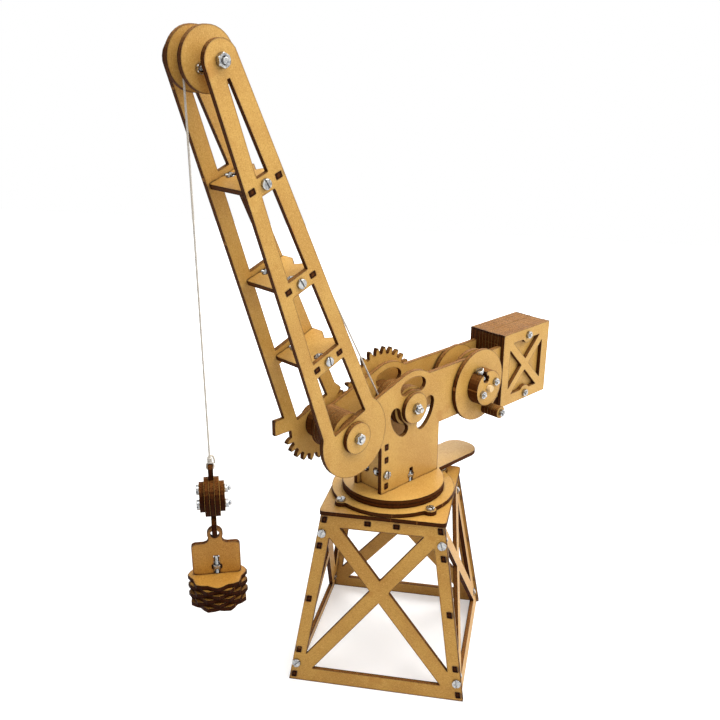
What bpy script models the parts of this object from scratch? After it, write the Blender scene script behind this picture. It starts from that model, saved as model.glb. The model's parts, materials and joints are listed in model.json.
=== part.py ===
"""Model of a slewing tower crane, cut from 3 mm board and bolted together.

Run it in Blender 4.5. The base stands on Z = 0 with the slewing axis on Z.
Sizes are in millimetres and become metres as each mesh is made.
"""

import math

import bmesh
import bpy
from mathutils import Matrix, Vector
from mathutils.geometry import tessellate_polygon

MM = 0.001
AXIS_SHOWN = 20.0

# Board, clearances and hardware
BOARD = 3.0
GAP = 0.3
BORE_GAP = 0.15
SLIDE_GAP = 0.2
TAB = 4.0
BOLT_R = 2.0
SCREW_R = 1.5
NUT_FLATS = 7.0
NUT_HIGH = 2.8
BOLT_END = 1.2
SLOT_WIDE = 3.4
SLOT_DEEP = 8.0
SLOT_NUT_AT = 3.6
SLOT_NUT_WIDE = 6.2
SLOT_NUT_THICK = 2.8

# Tower
BASE_HALF = 64.5
LEAN = 0.16
FRAME_HIGH = 129.7
LEG = 9.1
SIDE_LEG = 11.0
BOTTOM_BAR = 10.3
TOP_BAR = 9.0
CROSS_Z = 76.0
CROSS_ANGLE = math.radians(50.5)
CROSS_BAR = 10.6
TAB_INSET = 3.3
SIDE_TAB_Z = (4.4, 24.3, 65.0, 106.1, 125.8)
SIDE_SCREW_Z = (13.7, 115.8)
INNER_PLATE_Z = 124.4
INNER_TAB_X = 10.2
TOP_LIP = 1.25
TOP_CORNER = 3.0

# Turntable
RING_INSET = 0.1
RING_WIDE = 14.6
EAR_R = 4.5
EAR_OUT = 0.1
DISC_R = 37.25
TONGUE_HALF = 13.75
TONGUE_REACH = 85.0
TONGUE_CORNER = 12.0
SLEW_R = 2.5
SLEW_TURN = math.radians(56.0)

# Cab: u runs back from the boom to the counterweight, w to the crank side, z up from the deck
CAB_INSIDE = 10.5
CAB_FRONT_U = -26.7
CAB_REAR_U = 33.0
NOSE_R = 10.5
NOSE_FOOT_Z = 36.0
PIVOT = (-55.0, 55.0)
DRIVE = (4.3, 58.0)
BROW_R = 27.0
ARM_LOW = 38.0
ARM_HIGH = 79.5
CAB_TAB_U = (-14.0, 24.0)
CAB_TAB_WIDE = 8.0
CAB_SLOT_U = 4.2
KIDNEY_INNER = 12.5
KIDNEY_OUTER = 22.3
KIDNEY_HALF = math.radians(43.5)
KIDNEY_AT = (90.0, 210.0, 330.0)
FRONT_PLATE_U = -21.5
FRONT_PLATE_HIGH = 39.0
FRONT_TAB_Z = (5.1, 25.3, 35.2)
FRONT_SCREW_Z = 13.9
SPACER_R = 14.5
WASHER_R = 11.0
DRIVE_WASHER_R = 11.5
RUB_GAP = 0.5

# Counterweight
BLOCK_FRONT = 102.0
BLOCK_LONG = 58.0
BLOCK_FOOT = 29.5
BLOCK_HIGH = 59.0
BLOCK_BORDER = 8.5
BLOCK_BAR = 6.5
BLOCK_PAD_R = 6.5
BLOCK_BOLT_IN = 30.5
BLOCK_BOLT_EDGE = 5.0
BLOCK_BOLT_ROOF = 5.5

# Luffing gears
MODULE = 2.2
BOOM_TEETH = 24
DRIVE_TEETH = 30
PRESSURE = math.radians(20.0)
BACKLASH = 0.35
ROOT_GAP = 0.6
SECTOR_FIRST = -11
SECTOR_LAST = 2

# Boom: s runs along it from the pivot, t square to it towards the rear
BOOM_ANGLE = math.radians(111.4)
BOOM_LONG = 250.0
TIP_R = 10.5
HALF_AT_PIVOT = 24.5
FOOT_R = 28.6
BAY_TIP_HALF = 1.05
BAY_FOOT_HALF = 14.5
BAY_TIP_GAP = 9.3
BAY_FOOT_S = 12.1
RUNG_S = (62.9, 119.7, 183.1)
RUNG_HIGH = 10.2
BRACE_TAB_T = 9.95
BRACE_FRONT = 12.5
BRACE_NOTCH = 5.0
STOP_REACH = 37.3
STOP_HIGH = 10.7
FAR_SPACER_LAYERS = 2
FAR_SPACER_R = 11.0
FAR_AT_TIP = 16.5

# Sheave at the tip of the boom
SHEAVE_R = 16.5
SHEAVE_HALF = 7.5

# Winch
WINCH = (73.5, 57.0)
DOWEL_R = 2.5
DOWEL_OUT = 29.0
DRUM_HALF = 6.0
DRUM_FLANGE_R = 25.5
DRUM_CORE_R = 9.5
CRANK_R = 27.5
CRANK_HUB_R = 13.7
HUB_LAYERS = 3
HUB_SLOT_AT = math.radians(113.0)
KNOB_AT = math.radians(-67.5)
KNOB_OUT = 22.0
KNOB_R = 4.75
KNOB_LAYERS = 5
RETAINER_R = 8.0

# Rope
ROPE_R = 0.6
ROPE_TURNS = 3
ROPE_PITCH = 1.65
ROLLER_CORE_R = 12.5
ROLLER_FLANGE_R = 14.5
ROLLER_GROOVE_HALF = 4.5
SHEAVE_CORE_R = 10.4

# Hook ball and load, placed on the rope's vertical fall
BALL_Z = 43.0
BALL_TURN = math.radians(21.0) - SLEW_TURN
BALL_R = 12.0
BALL_OUTER_R = 9.25
EYE_AT = 17.5
EYE_R = 4.0
EYE_HOLE_R = 1.6
HOOK_CENTRE = -19.1
HOOK_INNER = 4.5
HOOK_BAR = 3.4
HOOK_NECK = 4.4
HOOK_TIP = math.radians(10.0)
HOOK_MOUTH = math.radians(60.0)
LOAD_EYE_R = 4.8
LOAD_EYE_HOLE = 2.7
LOAD_PLATE_HALF = 14.75
LOAD_PLATE_HIGH = 21.8
LOAD_PLATE_DROP = 6.2
LOAD_CORNER = 2.5
LOAD_NECK_FILLET = 3.0
LOAD_SLOT_DEEP = 12.8
LOAD_DISCS = 6
LOAD_R = 18.2
LOAD_WAVE = 1.2
LOAD_LOBES = 8
LOAD_SEAM = 0.2
LOAD_SEAM_R = 15.5

# Sides of round shapes
ROUND = 36
DISC_ROUND = 24
SMALL_ROUND = 12
WAVE_POINTS = 4

# Values that follow from those above
SLANT = BOARD * math.hypot(1.0, LEAN)
SIDE_INSET = TAB_INSET - SLANT / 2
TOP_Z = FRAME_HIGH + BOARD
RING_TOP_Z = TOP_Z + BOARD
TOP_HALF = BASE_HALF - LEAN * FRAME_HIGH + TOP_LIP
RING_R = TOP_HALF - RING_INSET
EAR_AT = RING_R + EAR_OUT
RING_BORE = RING_R - RING_WIDE
DECK_Z = RING_TOP_Z + SLIDE_GAP + 2 * BOARD
CAB_OUTSIDE = CAB_INSIDE + BOARD
BOOM_INSIDE = CAB_OUTSIDE + RUB_GAP
BOOM_OUTSIDE = BOOM_INSIDE + BOARD
FAR_SPACER_OUT = CAB_OUTSIDE + GAP + FAR_SPACER_LAYERS * BOARD
FAR_AT_PIVOT = FAR_SPACER_OUT + GAP
FAR_SPLAY = (FAR_AT_PIVOT - FAR_AT_TIP) / BOOM_LONG
SHEAVE_MIDDLE = (BOOM_INSIDE - FAR_AT_TIP) / 2
BOOM_TAPER = (HALF_AT_PIVOT - TIP_R) / BOOM_LONG
BAY_TOP_S = BOOM_LONG - BAY_TIP_GAP
BAY_TAPER = (BAY_FOOT_HALF - BAY_TIP_HALF) / (BAY_TOP_S - BAY_FOOT_S)
BLOCK_U = (BLOCK_FRONT, BLOCK_FRONT + BLOCK_LONG)
BLOCK_Z = (BLOCK_FOOT, BLOCK_FOOT + BLOCK_HIGH)
BLOCK_BOLT_U = BLOCK_FRONT + BLOCK_BOLT_IN
BLOCK_BOLT_Z = (BLOCK_Z[0] + BLOCK_BOLT_EDGE, BLOCK_Z[1] - BLOCK_BOLT_ROOF)
HUB_OUT = BOOM_OUTSIDE + HUB_LAYERS * BOARD
KNOB_OUTSIDE = BOOM_OUTSIDE + GAP + KNOB_LAYERS * BOARD
ROPE_ON_SHEAVE = SHEAVE_CORE_R + GAP + ROPE_R
ROPE_ON_ROLLER = ROLLER_CORE_R + GAP + ROPE_R
ROPE_ON_DRUM = DRUM_CORE_R + GAP + ROPE_R
SHEAVE_AT = (
    PIVOT[0] + BOOM_LONG * math.cos(BOOM_ANGLE),
    PIVOT[1] + BOOM_LONG * math.sin(BOOM_ANGLE),
)
MESH_ANGLE = math.atan2(DRIVE[1] - PIVOT[1], DRIVE[0] - PIVOT[0])
LOAD_EYE_Z = HOOK_CENTRE - HOOK_INNER - HOOK_BAR / 2


def clear_scene():
    for obj in list(bpy.data.objects):
        bpy.data.objects.remove(obj, do_unlink=True)


# Outlines

def arc(x, y, radius, start, end, steps):
    points = []
    for i in range(steps + 1):
        angle = start + (end - start) * i / steps
        points.append((x + radius * math.cos(angle), y + radius * math.sin(angle)))
    return points


def disc(x, y, radius, sides=ROUND):
    return arc(x, y, radius, 0.0, math.tau, sides)[:-1]


def bore(x, y, radius, sides=SMALL_ROUND):
    """A hole whose flats lie at the radius plus the running clearance."""
    return disc(x, y, (radius + BORE_GAP) / math.cos(math.pi / sides), sides)


def rectangle(x, y, wide, high, lean=0.0):
    half, up = wide / 2, high / 2
    return [
        (x - half + lean * up, y - up),
        (x + half + lean * up, y - up),
        (x + half - lean * up, y + up),
        (x - half - lean * up, y + up),
    ]


def turned(points, angle):
    c, s = math.cos(angle), math.sin(angle)
    return [(x * c - y * s, x * s + y * c) for x, y in points]


def t_slot(x, y, inward, lean=0.0, deep=SLOT_DEEP):
    """The cut for a screw and its nut, from an edge point in along a unit direction."""
    ix, iy = inward
    ax, ay = -iy, ix
    half, nut_half = SLOT_WIDE / 2, SLOT_NUT_WIDE / 2
    nut_end = SLOT_NUT_AT + SLOT_NUT_THICK
    path = [
        (lean * half, -half),
        (SLOT_NUT_AT, -half),
        (SLOT_NUT_AT, -nut_half),
        (nut_end, -nut_half),
        (nut_end, -half),
        (deep, -half),
        (deep, half),
        (nut_end, half),
        (nut_end, nut_half),
        (SLOT_NUT_AT, nut_half),
        (SLOT_NUT_AT, half),
        (-lean * half, half),
    ]
    return [(x + i * ix + a * ax, y + i * iy + a * ay) for i, a in path]


def kidney(centre, at):
    x, y = centre
    middle = (KIDNEY_INNER + KIDNEY_OUTER) / 2
    end_r = (KIDNEY_OUTER - KIDNEY_INNER) / 2
    half = KIDNEY_HALF - end_r / middle
    first = (x + middle * math.cos(at - half), y + middle * math.sin(at - half))
    last = (x + middle * math.cos(at + half), y + middle * math.sin(at + half))
    return (
        arc(x, y, KIDNEY_OUTER, at - half, at + half, 6)
        + arc(*last, end_r, at + half, at + half + math.pi, 5)[1:-1]
        + arc(x, y, KIDNEY_INNER, at + half, at - half, 5)
        + arc(*first, end_r, at - half + math.pi, at - half + math.tau, 5)[1:-1]
    )


# Gear teeth

def involute(angle):
    return math.tan(angle) - angle


def tooth(teeth, root, tip, at):
    """One tooth about its centre line, as (radius, angle) turned into points."""
    pitch = MODULE * teeth / 2
    base = pitch * math.cos(PRESSURE)
    half = (math.pi * MODULE / 2 - BACKLASH) / 2 / pitch

    def half_at(radius):
        if radius <= base:
            return half + involute(PRESSURE)
        return half + involute(PRESSURE) - involute(math.acos(base / radius))

    steps = (root, base, pitch, tip - BORE_GAP, tip)
    trim = (1.0, 1.0, 1.0, 1.0, 0.6)
    side = [(radius, half_at(radius) * cut) for radius, cut in zip(steps, trim)]
    points = [(radius, at - angle) for radius, angle in side]
    points += [(radius, at + angle) for radius, angle in reversed(side)]
    return [(radius * math.cos(angle), radius * math.sin(angle)) for radius, angle in points]


def boom_gear_radii():
    tip = MODULE * (BOOM_TEETH / 2 + 1)
    root = MODULE * (BOOM_TEETH / 2 - 1) - ROOT_GAP
    return root, tip


def drive_gear_outline():
    pitch_angle = math.tau / DRIVE_TEETH
    tip = MODULE * (DRIVE_TEETH / 2 + 1)
    root = MODULE * (DRIVE_TEETH / 2 - 1) - ROOT_GAP
    first = MESH_ANGLE + math.pi + pitch_angle / 2
    points = []
    for i in range(DRIVE_TEETH):
        points += tooth(DRIVE_TEETH, root, tip, first + i * pitch_angle)
    return points


# Solids

def material(name, look):
    colour, roughness, metallic = look
    made = bpy.data.materials.new(name)
    made.use_nodes = True
    shader = made.node_tree.nodes["Principled BSDF"]
    shader.inputs["Base Color"].default_value = (*colour, 1.0)
    shader.inputs["Roughness"].default_value = roughness
    shader.inputs["Metallic"].default_value = metallic
    made.diffuse_color = (*colour, 1.0)
    return made


BOARD_LOOK = ((0.72, 0.48, 0.19), 0.6, 0.0)
DOWEL_LOOK = ((0.75, 0.58, 0.33), 0.6, 0.0)
STEEL_LOOK = ((0.62, 0.63, 0.62), 0.32, 1.0)
ROPE_LOOK = ((0.85, 0.82, 0.74), 0.9, 0.0)


def place(obj, parent, look):
    bpy.context.scene.collection.objects.link(obj)
    obj.data.materials.append(material(obj.name, look))
    obj.parent = parent
    return obj


def finish_mesh(name, mesh, parent, look, smooth):
    bmesh.ops.recalc_face_normals(mesh, faces=mesh.faces)
    if mesh.calc_volume(signed=True) < 0:
        bmesh.ops.reverse_faces(mesh, faces=mesh.faces)
    data = bpy.data.meshes.new(name)
    mesh.to_mesh(data)
    mesh.free()
    obj = place(bpy.data.objects.new(name, data), parent, look)
    if smooth:
        data.shade_smooth()
        data.set_sharp_from_angle(angle=math.radians(35.0))
    return obj


def upright(a, b, c):
    """A board that faces the crank side: a back, b up, c towards the crank."""
    return Vector((a, -c, b))


def level(a, b, c):
    """A board that lies flat."""
    return Vector((a, b, c))


def across(a, b, c):
    """A board square to u: a towards the crank, b up, c back."""
    return Vector((c, -a, b))


def on_boom(a, b, c):
    """A board square to the boom: a along t, b towards the crank, c along the boom."""
    return Vector((a, -b, c))


def facing_x(a, b, c):
    """A board in the plane of Y and Z: a along Y, b up, c along X."""
    return Vector((c, a, b))


def sheet(name, loops, low, high, plane, parent, look=BOARD_LOOK, smooth=False):
    """A flat board between two levels, cut to its first loop, with the other loops as holes."""
    flat = [[Vector((a, b, 0.0)) for a, b in loop] for loop in loops]
    triangles = tessellate_polygon(flat)
    mesh = bmesh.new()
    points = [point for loop in loops for point in loop]
    bottom = [mesh.verts.new(plane(a, b, low) * MM) for a, b in points]
    top = [mesh.verts.new(plane(a, b, high) * MM) for a, b in points]
    for i, j, k in triangles:
        mesh.faces.new((bottom[i], bottom[j], bottom[k]))
        mesh.faces.new((top[k], top[j], top[i]))
    start = 0
    for loop in loops:
        count = len(loop)
        for i in range(count):
            here, there = start + i, start + (i + 1) % count
            mesh.faces.new((bottom[here], bottom[there], top[there], top[here]))
        start += count
    return finish_mesh(name, mesh, parent, look, smooth)


def lofted(name, rings, plane, parent, look=BOARD_LOOK, bored=False):
    """Rings of equally many points joined in turn, capped, or closed on themselves round a bore."""
    mesh = bmesh.new()
    made = []
    for level_c, ring in rings:
        made.append([mesh.verts.new(plane(a, b, level_c) * MM) for a, b in ring])
    pairs = list(zip(made, made[1:]))
    if bored:
        pairs.append((made[-1], made[0]))
    for lower, upper in pairs:
        for i in range(len(lower)):
            j = (i + 1) % len(lower)
            mesh.faces.new((lower[i], lower[j], upper[j], upper[i]))
    if not bored:
        mesh.faces.new(made[0])
        mesh.faces.new(made[-1])
    return finish_mesh(name, mesh, parent, look, True)


def hexagon(x, y, flats, first=1):
    """A nut's outline with a point at each corner and one halfway along each flat."""
    points = []
    for i in range(SMALL_ROUND):
        radius = flats / 2 if (i + first) % 2 == 0 else flats / 2 / math.cos(math.pi / 6)
        angle = math.tau * i / SMALL_ROUND
        points.append((x + radius * math.cos(angle), y + radius * math.sin(angle)))
    return points


def bolt(name, at, low, high, plane, parent, radius=BOLT_R, head=False, low_nut=True, high_nut=True):
    """A bolt on an axis between the two outer faces that it clamps, with its nuts or head."""
    shank = disc(*at, radius, SMALL_ROUND)
    nut = hexagon(*at, NUT_FLATS * radius / BOLT_R)
    high_of_nut = NUT_HIGH * radius / BOLT_R
    cap = disc(*at, NUT_FLATS / 2 * radius / BOLT_R, SMALL_ROUND)
    rings = []
    if low_nut:
        rings += [(low - high_of_nut - BOLT_END, shank), (low - high_of_nut, shank)]
        rings += [(low - high_of_nut, nut), (low, nut), (low, shank)]
        if head:
            rings = [(low - high_of_nut, cap), (low, cap), (low, shank)]
    else:
        rings += [(low, shank)]
    if high_nut:
        rings += [(high, shank), (high, nut), (high + high_of_nut, nut)]
        rings += [(high + high_of_nut, shank), (high + high_of_nut + BOLT_END, shank)]
    else:
        rings += [(high, shank)]
    return lofted(name, rings, plane, parent, STEEL_LOOK)


def body(name, parent, matrix):
    """The empty that carries one moving body, on its joint's axis."""
    empty = bpy.data.objects.new(name, None)
    empty.empty_display_size = AXIS_SHOWN * MM
    bpy.context.scene.collection.objects.link(empty)
    empty.parent = parent
    empty.matrix_basis = matrix
    return empty


def shifted(x, y, z):
    return Matrix.Translation(Vector((x, y, z)) * MM)


def cord(name, points, parent, resolution=1):
    """A tube along points, with filled ends."""
    data = bpy.data.curves.new(name, "CURVE")
    data.dimensions = "3D"
    data.bevel_depth = ROPE_R * MM
    data.bevel_resolution = resolution
    data.use_fill_caps = True
    spline = data.splines.new("POLY")
    spline.points.add(len(points) - 1)
    for point, where in zip(spline.points, points):
        point.co = (*(where * MM), 1.0)
    return place(bpy.data.objects.new(name, data), parent, ROPE_LOOK)


# Tower

def half_at(z):
    return BASE_HALF - LEAN * z


def frame_openings(inner):
    """The four gaps that the crossed bars leave between legs whose inner edges meet Z = 0 at inner."""
    rise = math.tan(CROSS_ANGLE)
    up = CROSS_BAR / 2 / math.cos(CROSS_ANGLE)
    out = CROSS_BAR / 2 / math.sin(CROSS_ANGLE)
    roof = FRAME_HIGH - TOP_BAR
    loops = []
    top_x = (roof - CROSS_Z - up) / rise
    low_x = (CROSS_Z - up - BOTTOM_BAR) / rise
    loops.append([(0.0, CROSS_Z + up), (top_x, roof), (-top_x, roof)])
    loops.append([(0.0, CROSS_Z - up), (-low_x, BOTTOM_BAR), (low_x, BOTTOM_BAR)])
    high_x = (inner - LEAN * CROSS_Z + LEAN * rise * out) / (1 + LEAN * rise)
    deep_x = (inner - LEAN * CROSS_Z - LEAN * rise * out) / (1 - LEAN * rise)
    for side in (-1, 1):
        loops.append(
            [
                (side * out, CROSS_Z),
                (side * high_x, CROSS_Z + (high_x - out) * rise),
                (side * deep_x, CROSS_Z - (deep_x - out) * rise),
            ]
        )
    return loops


def inner_tab_holes():
    z = INNER_PLATE_Z + BOARD / 2
    return [rectangle(side * INNER_TAB_X, z, TAB + 2 * GAP, BOARD + 2 * GAP) for side in (-1, 1)]


def front_frame(name, side, root):
    outline = [
        (-half_at(0), 0.0),
        (half_at(0), 0.0),
        (half_at(FRAME_HIGH), FRAME_HIGH),
        (-half_at(FRAME_HIGH), FRAME_HIGH),
    ]
    loops = [outline] + frame_openings(BASE_HALF - LEG) + inner_tab_holes()
    for edge in (-1, 1):
        for z in SIDE_TAB_Z:
            x = edge * (half_at(z) - TAB_INSET)
            loops.append(rectangle(x, z, SLANT + 2 * GAP, TAB + 2 * GAP, edge * LEAN))
        for z in SIDE_SCREW_Z:
            loops.append(bore(edge * (half_at(z) - TAB_INSET), z, SCREW_R))

    def leaning(a, b, c):
        return Vector((a, side * (half_at(b) - c), b))

    return sheet(name, loops, 0.0, SLANT, leaning, root)


def side_frame(name, side, root):
    inset = SLANT + GAP

    def edge_points(sign):
        stops = [(z, "tab") for z in SIDE_TAB_Z] + [(z, "slot") for z in SIDE_SCREW_Z]
        points = []
        for z, kind in sorted(stops):
            if kind == "slot":
                cut = t_slot(half_at(z) - inset, z, (-1.0, 0.0), LEAN)
                points += sorted(cut[:1] + cut[-1:], key=lambda p: p[1])[:1]
                inner = cut[1:-1]
                points += inner if inner[0][1] < inner[-1][1] else inner[::-1]
                points += sorted(cut[:1] + cut[-1:], key=lambda p: p[1])[1:]
                continue
            low, high = z - TAB / 2, z + TAB / 2
            points += [(half_at(low) - inset, low), (half_at(low), low)]
            points += [(half_at(high), high), (half_at(high) - inset, high)]
        return [(sign * a, b) for a, b in points]

    bottom, top = half_at(0) - inset, half_at(FRAME_HIGH) - inset
    outline = [(bottom, 0.0)] + edge_points(1) + [(top, FRAME_HIGH), (-top, FRAME_HIGH)]
    outline += edge_points(-1)[::-1] + [(-bottom, 0.0)]
    loops = [outline] + frame_openings(bottom - SIDE_LEG) + inner_tab_holes()

    def leaning(a, b, c):
        return Vector((side * (half_at(b) - SIDE_INSET - c), a, b))

    return sheet(name, loops, 0.0, SLANT, leaning, root)


def tabbed_square(x_half, y_half, x_tab, y_tab):
    """A rectangle with two tabs on each side."""
    quarter = []
    low, high = INNER_TAB_X - TAB / 2, INNER_TAB_X + TAB / 2
    for a, half, reach in ((1, x_half, x_tab), (0, y_half, y_tab)):
        run = [(half, -high), (reach, -high), (reach, -low), (half, -low)]
        run += [(half, low), (reach, low), (reach, high), (half, high)]
        quarter.append(run)
    right = [(x_half, -y_half)] + quarter[0]
    top = [(x_half, y_half)] + [(-b, a) for a, b in quarter[1]]
    return right + top + [(-a, -b) for a, b in right + top]


def ear_holes(radius):
    at = EAR_AT / math.sqrt(2)
    return [bore(x * at, y * at, radius) for x in (-1, 1) for y in (-1, 1)]


def make_tower(root):
    front_frame("tower_front_frame", -1, root)
    front_frame("tower_back_frame", 1, root)
    side_frame("tower_left_frame", -1, root)
    side_frame("tower_right_frame", 1, root)
    plate_top = INNER_PLATE_Z + BOARD
    x_half = half_at(plate_top) - SIDE_INSET - SLANT - GAP
    y_half = half_at(plate_top) - SLANT - GAP
    x_tab = half_at(plate_top) - SIDE_INSET
    outline = tabbed_square(x_half, y_half, x_tab, half_at(plate_top))
    holes = ear_holes(SCREW_R) + [bore(0, 0, SLEW_R)]
    sheet("tower_inner_plate", [outline] + holes, INNER_PLATE_Z, plate_top, level, root)
    near = TOP_HALF - TOP_CORNER
    outline = []
    for i, (x, y) in enumerate(((near, near), (-near, near), (-near, -near), (near, -near))):
        outline += arc(x, y, TOP_CORNER, i * math.pi / 2, (i + 1) * math.pi / 2, 3)
    sheet("tower_top_plate", [outline] + holes, FRAME_HIGH, TOP_Z, level, root)


# Turntable

def ring_outline():
    """A round ring's edge with an ear on each diagonal."""
    join = (RING_R**2 - EAR_AT**2 - EAR_R**2) / (2 * EAR_AT * EAR_R)
    sweep = math.acos(join)
    half = math.acos((RING_R**2 + EAR_AT**2 - EAR_R**2) / (2 * RING_R * EAR_AT))
    points = []
    for i in range(4):
        at = math.pi / 4 + i * math.pi / 2
        x, y = EAR_AT * math.cos(at), EAR_AT * math.sin(at)
        points += arc(x, y, EAR_R, at - sweep, at + sweep, 6)
        points += arc(0, 0, RING_R, at + half, at + math.pi / 2 - half, 8)[1:-1]
    return points


def tongue_disc():
    meet = math.asin(TONGUE_HALF / DISC_R)
    far = TONGUE_REACH - TONGUE_CORNER
    up = TONGUE_HALF - TONGUE_CORNER
    points = arc(0, 0, DISC_R, meet, math.tau - meet, 30)
    points += arc(far, -up, TONGUE_CORNER, -math.pi / 2, 0.0, 5)
    points += arc(far, up, TONGUE_CORNER, 0.0, math.pi / 2, 5)
    return points


def make_turntable(root, cab):
    ring = [ring_outline(), disc(0, 0, RING_BORE)] + ear_holes(SCREW_R)
    sheet("turntable_ring", ring, TOP_Z, RING_TOP_Z, level, root)
    bolt(
        "slew_pivot_bolt", (0, 0), INNER_PLATE_Z, DECK_Z + SLIDE_GAP, level, root,
        radius=SLEW_R, head=True,
    )
    hub = [disc(0, 0, RING_BORE - GAP), bore(0, 0, SLEW_R)]
    sheet("turntable_hub_disc", hub, -3 * BOARD, -2 * BOARD, level, cab, smooth=True)
    lower = [disc(0, 0, DISC_R), bore(0, 0, SLEW_R)]
    sheet("turntable_lower_disc", lower, -2 * BOARD, -BOARD, level, cab, smooth=True)
    upper = [tongue_disc(), bore(0, 0, SLEW_R)]
    middle = CAB_INSIDE + BOARD / 2
    for u in CAB_TAB_U:
        for side in (-1, 1):
            slot = rectangle(u, side * middle, CAB_TAB_WIDE + 2 * GAP, BOARD + 2 * GAP)
            upper.append(slot)
    sheet("turntable_top_disc", upper, -BOARD, 0.0, level, cab)


# Cab

def cab_side_outline():
    brow_start = math.asin((ARM_HIGH - DRIVE[1]) / BROW_R)
    apart = math.dist(PIVOT, DRIVE)
    lift = MESH_ANGLE + math.asin((BROW_R - NOSE_R) / apart) + math.pi / 2
    foot = (CAB_FRONT_U - PIVOT[0], NOSE_FOOT_Z - PIVOT[1])
    under = math.atan2(foot[1], foot[0]) - math.acos(NOSE_R / math.hypot(*foot)) + math.tau
    points = [(CAB_FRONT_U, 0.0)]
    stops = [(u, "tab") for u in CAB_TAB_U] + [(CAB_SLOT_U, "slot")]
    for u, kind in sorted(stops):
        if kind == "slot":
            points += t_slot(u, 0.0, (0.0, 1.0), deep=SLOT_DEEP + BOARD)[::-1]
            continue
        left, right = u - CAB_TAB_WIDE / 2, u + CAB_TAB_WIDE / 2
        points += [(left, 0.0), (left, -BOARD), (right, -BOARD), (right, 0.0)]
    points += [(CAB_REAR_U, 0.0), (CAB_REAR_U, ARM_LOW), (BLOCK_U[0], ARM_LOW)]
    points += [(BLOCK_U[0], BLOCK_Z[0]), (BLOCK_U[1], BLOCK_Z[0])]
    points += [(BLOCK_U[1], BLOCK_Z[1]), (BLOCK_U[0], BLOCK_Z[1]), (BLOCK_U[0], ARM_HIGH)]
    points += arc(*DRIVE, BROW_R, brow_start, lift, 7)
    points += arc(*PIVOT, NOSE_R, lift, under, 9)
    points.append((CAB_FRONT_U, NOSE_FOOT_Z))
    return points


def front_tab_hole(z):
    return rectangle(FRONT_PLATE_U, z, BOARD + 2 * GAP, TAB + 2 * GAP)


def cab_side_loops():
    loops = [cab_side_outline()]
    loops += [kidney(DRIVE, math.radians(at)) for at in KIDNEY_AT]
    loops += [bore(*PIVOT, BOLT_R), bore(*DRIVE, BOLT_R), bore(*WINCH, DOWEL_R)]
    loops += [bore(BLOCK_BOLT_U, z, SCREW_R) for z in BLOCK_BOLT_Z]
    loops += [front_tab_hole(z) for z in FRONT_TAB_Z]
    loops.append(bore(FRONT_PLATE_U, FRONT_SCREW_Z, SCREW_R))
    return loops


def cab_front_outline():
    inside = CAB_INSIDE - GAP
    run = [(inside, 0.0)]
    stops = [(z, "tab") for z in FRONT_TAB_Z] + [(FRONT_SCREW_Z, "slot")]
    for z, kind in sorted(stops):
        if kind == "slot":
            run += t_slot(inside, z, (-1.0, 0.0))[::-1]
            continue
        run += [(inside, z - TAB / 2), (CAB_OUTSIDE, z - TAB / 2)]
        run += [(CAB_OUTSIDE, z + TAB / 2), (inside, z + TAB / 2)]
    run.append((inside, FRONT_PLATE_HIGH))
    return run + [(-a, b) for a, b in reversed(run)]


def block_gap(side):
    """One cut-out of the counterweight's outer board, between two crossed bars and the border."""
    low_u, high_u = BLOCK_U[0] + BLOCK_BORDER, BLOCK_U[1] - BLOCK_BORDER
    low_z, high_z = BLOCK_Z[0] + BLOCK_BORDER, BLOCK_Z[1] - BLOCK_BORDER
    mid_u, mid_z = sum(BLOCK_U) / 2, sum(BLOCK_Z) / 2
    reach = BLOCK_BAR / math.sqrt(2)
    if side in ("left", "right"):
        sign = -1 if side == "left" else 1
        edge = low_u if side == "left" else high_u
        half = abs(edge - mid_u) - reach
        return [(mid_u + sign * reach, mid_z), (edge, mid_z + half), (edge, mid_z - half)]
    sign = -1 if side == "low" else 1
    edge = low_z if side == "low" else high_z
    bolt_z = BLOCK_BOLT_Z[0] if side == "low" else BLOCK_BOLT_Z[1]
    half = abs(edge - mid_z) - reach
    swing = math.asin(abs(bolt_z - edge) / BLOCK_PAD_R)
    pad = arc(BLOCK_BOLT_U, bolt_z, BLOCK_PAD_R, math.pi + swing, math.tau - swing, 6)
    if side == "low":
        pad = [(u, 2 * bolt_z - z) for u, z in pad]
    return [(mid_u, mid_z + sign * reach), (mid_u - half, edge)] + pad + [(mid_u + half, edge)]


def make_cab(cab):
    loops = cab_side_loops()
    sheet("cab_side_near", loops, CAB_INSIDE, CAB_OUTSIDE, upright, cab)
    sheet("cab_side_far", loops, -CAB_OUTSIDE, -CAB_INSIDE, upright, cab)
    low_u, high_u = FRONT_PLATE_U - BOARD / 2, FRONT_PLATE_U + BOARD / 2
    sheet("cab_front_plate", [cab_front_outline()], low_u, high_u, across, cab)
    spacer = [disc(*PIVOT, SPACER_R, DISC_ROUND), bore(*PIVOT, BOLT_R)]
    sheet("boom_pivot_spacer", spacer, -CAB_INSIDE, CAB_INSIDE, upright, cab, smooth=True)
    washer = [disc(*PIVOT, WASHER_R, DISC_ROUND), bore(*PIVOT, BOLT_R)]
    inner, outer = BOOM_OUTSIDE + GAP, BOOM_OUTSIDE + GAP + BOARD
    sheet("pivot_washer_near", washer, inner, outer, upright, cab, smooth=True)
    far_inner = FAR_AT_PIVOT + BOARD + GAP
    far_outer = far_inner + BOARD
    sheet("pivot_washer_far", washer, -far_outer, -far_inner, upright, cab, smooth=True)
    far_spacer("pivot_spacer_far", PIVOT, cab)
    bolt("boom_pivot_bolt", PIVOT, -far_outer, outer, upright, cab)


def far_spacer(name, at, parent):
    """The washers that hold the far boom board and its gear clear of the cab."""
    loops = [disc(*at, FAR_SPACER_R, DISC_ROUND), bore(*at, BOLT_R)]
    sheet(name, loops, -FAR_SPACER_OUT, -CAB_OUTSIDE - GAP, upright, parent, smooth=True)


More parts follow.
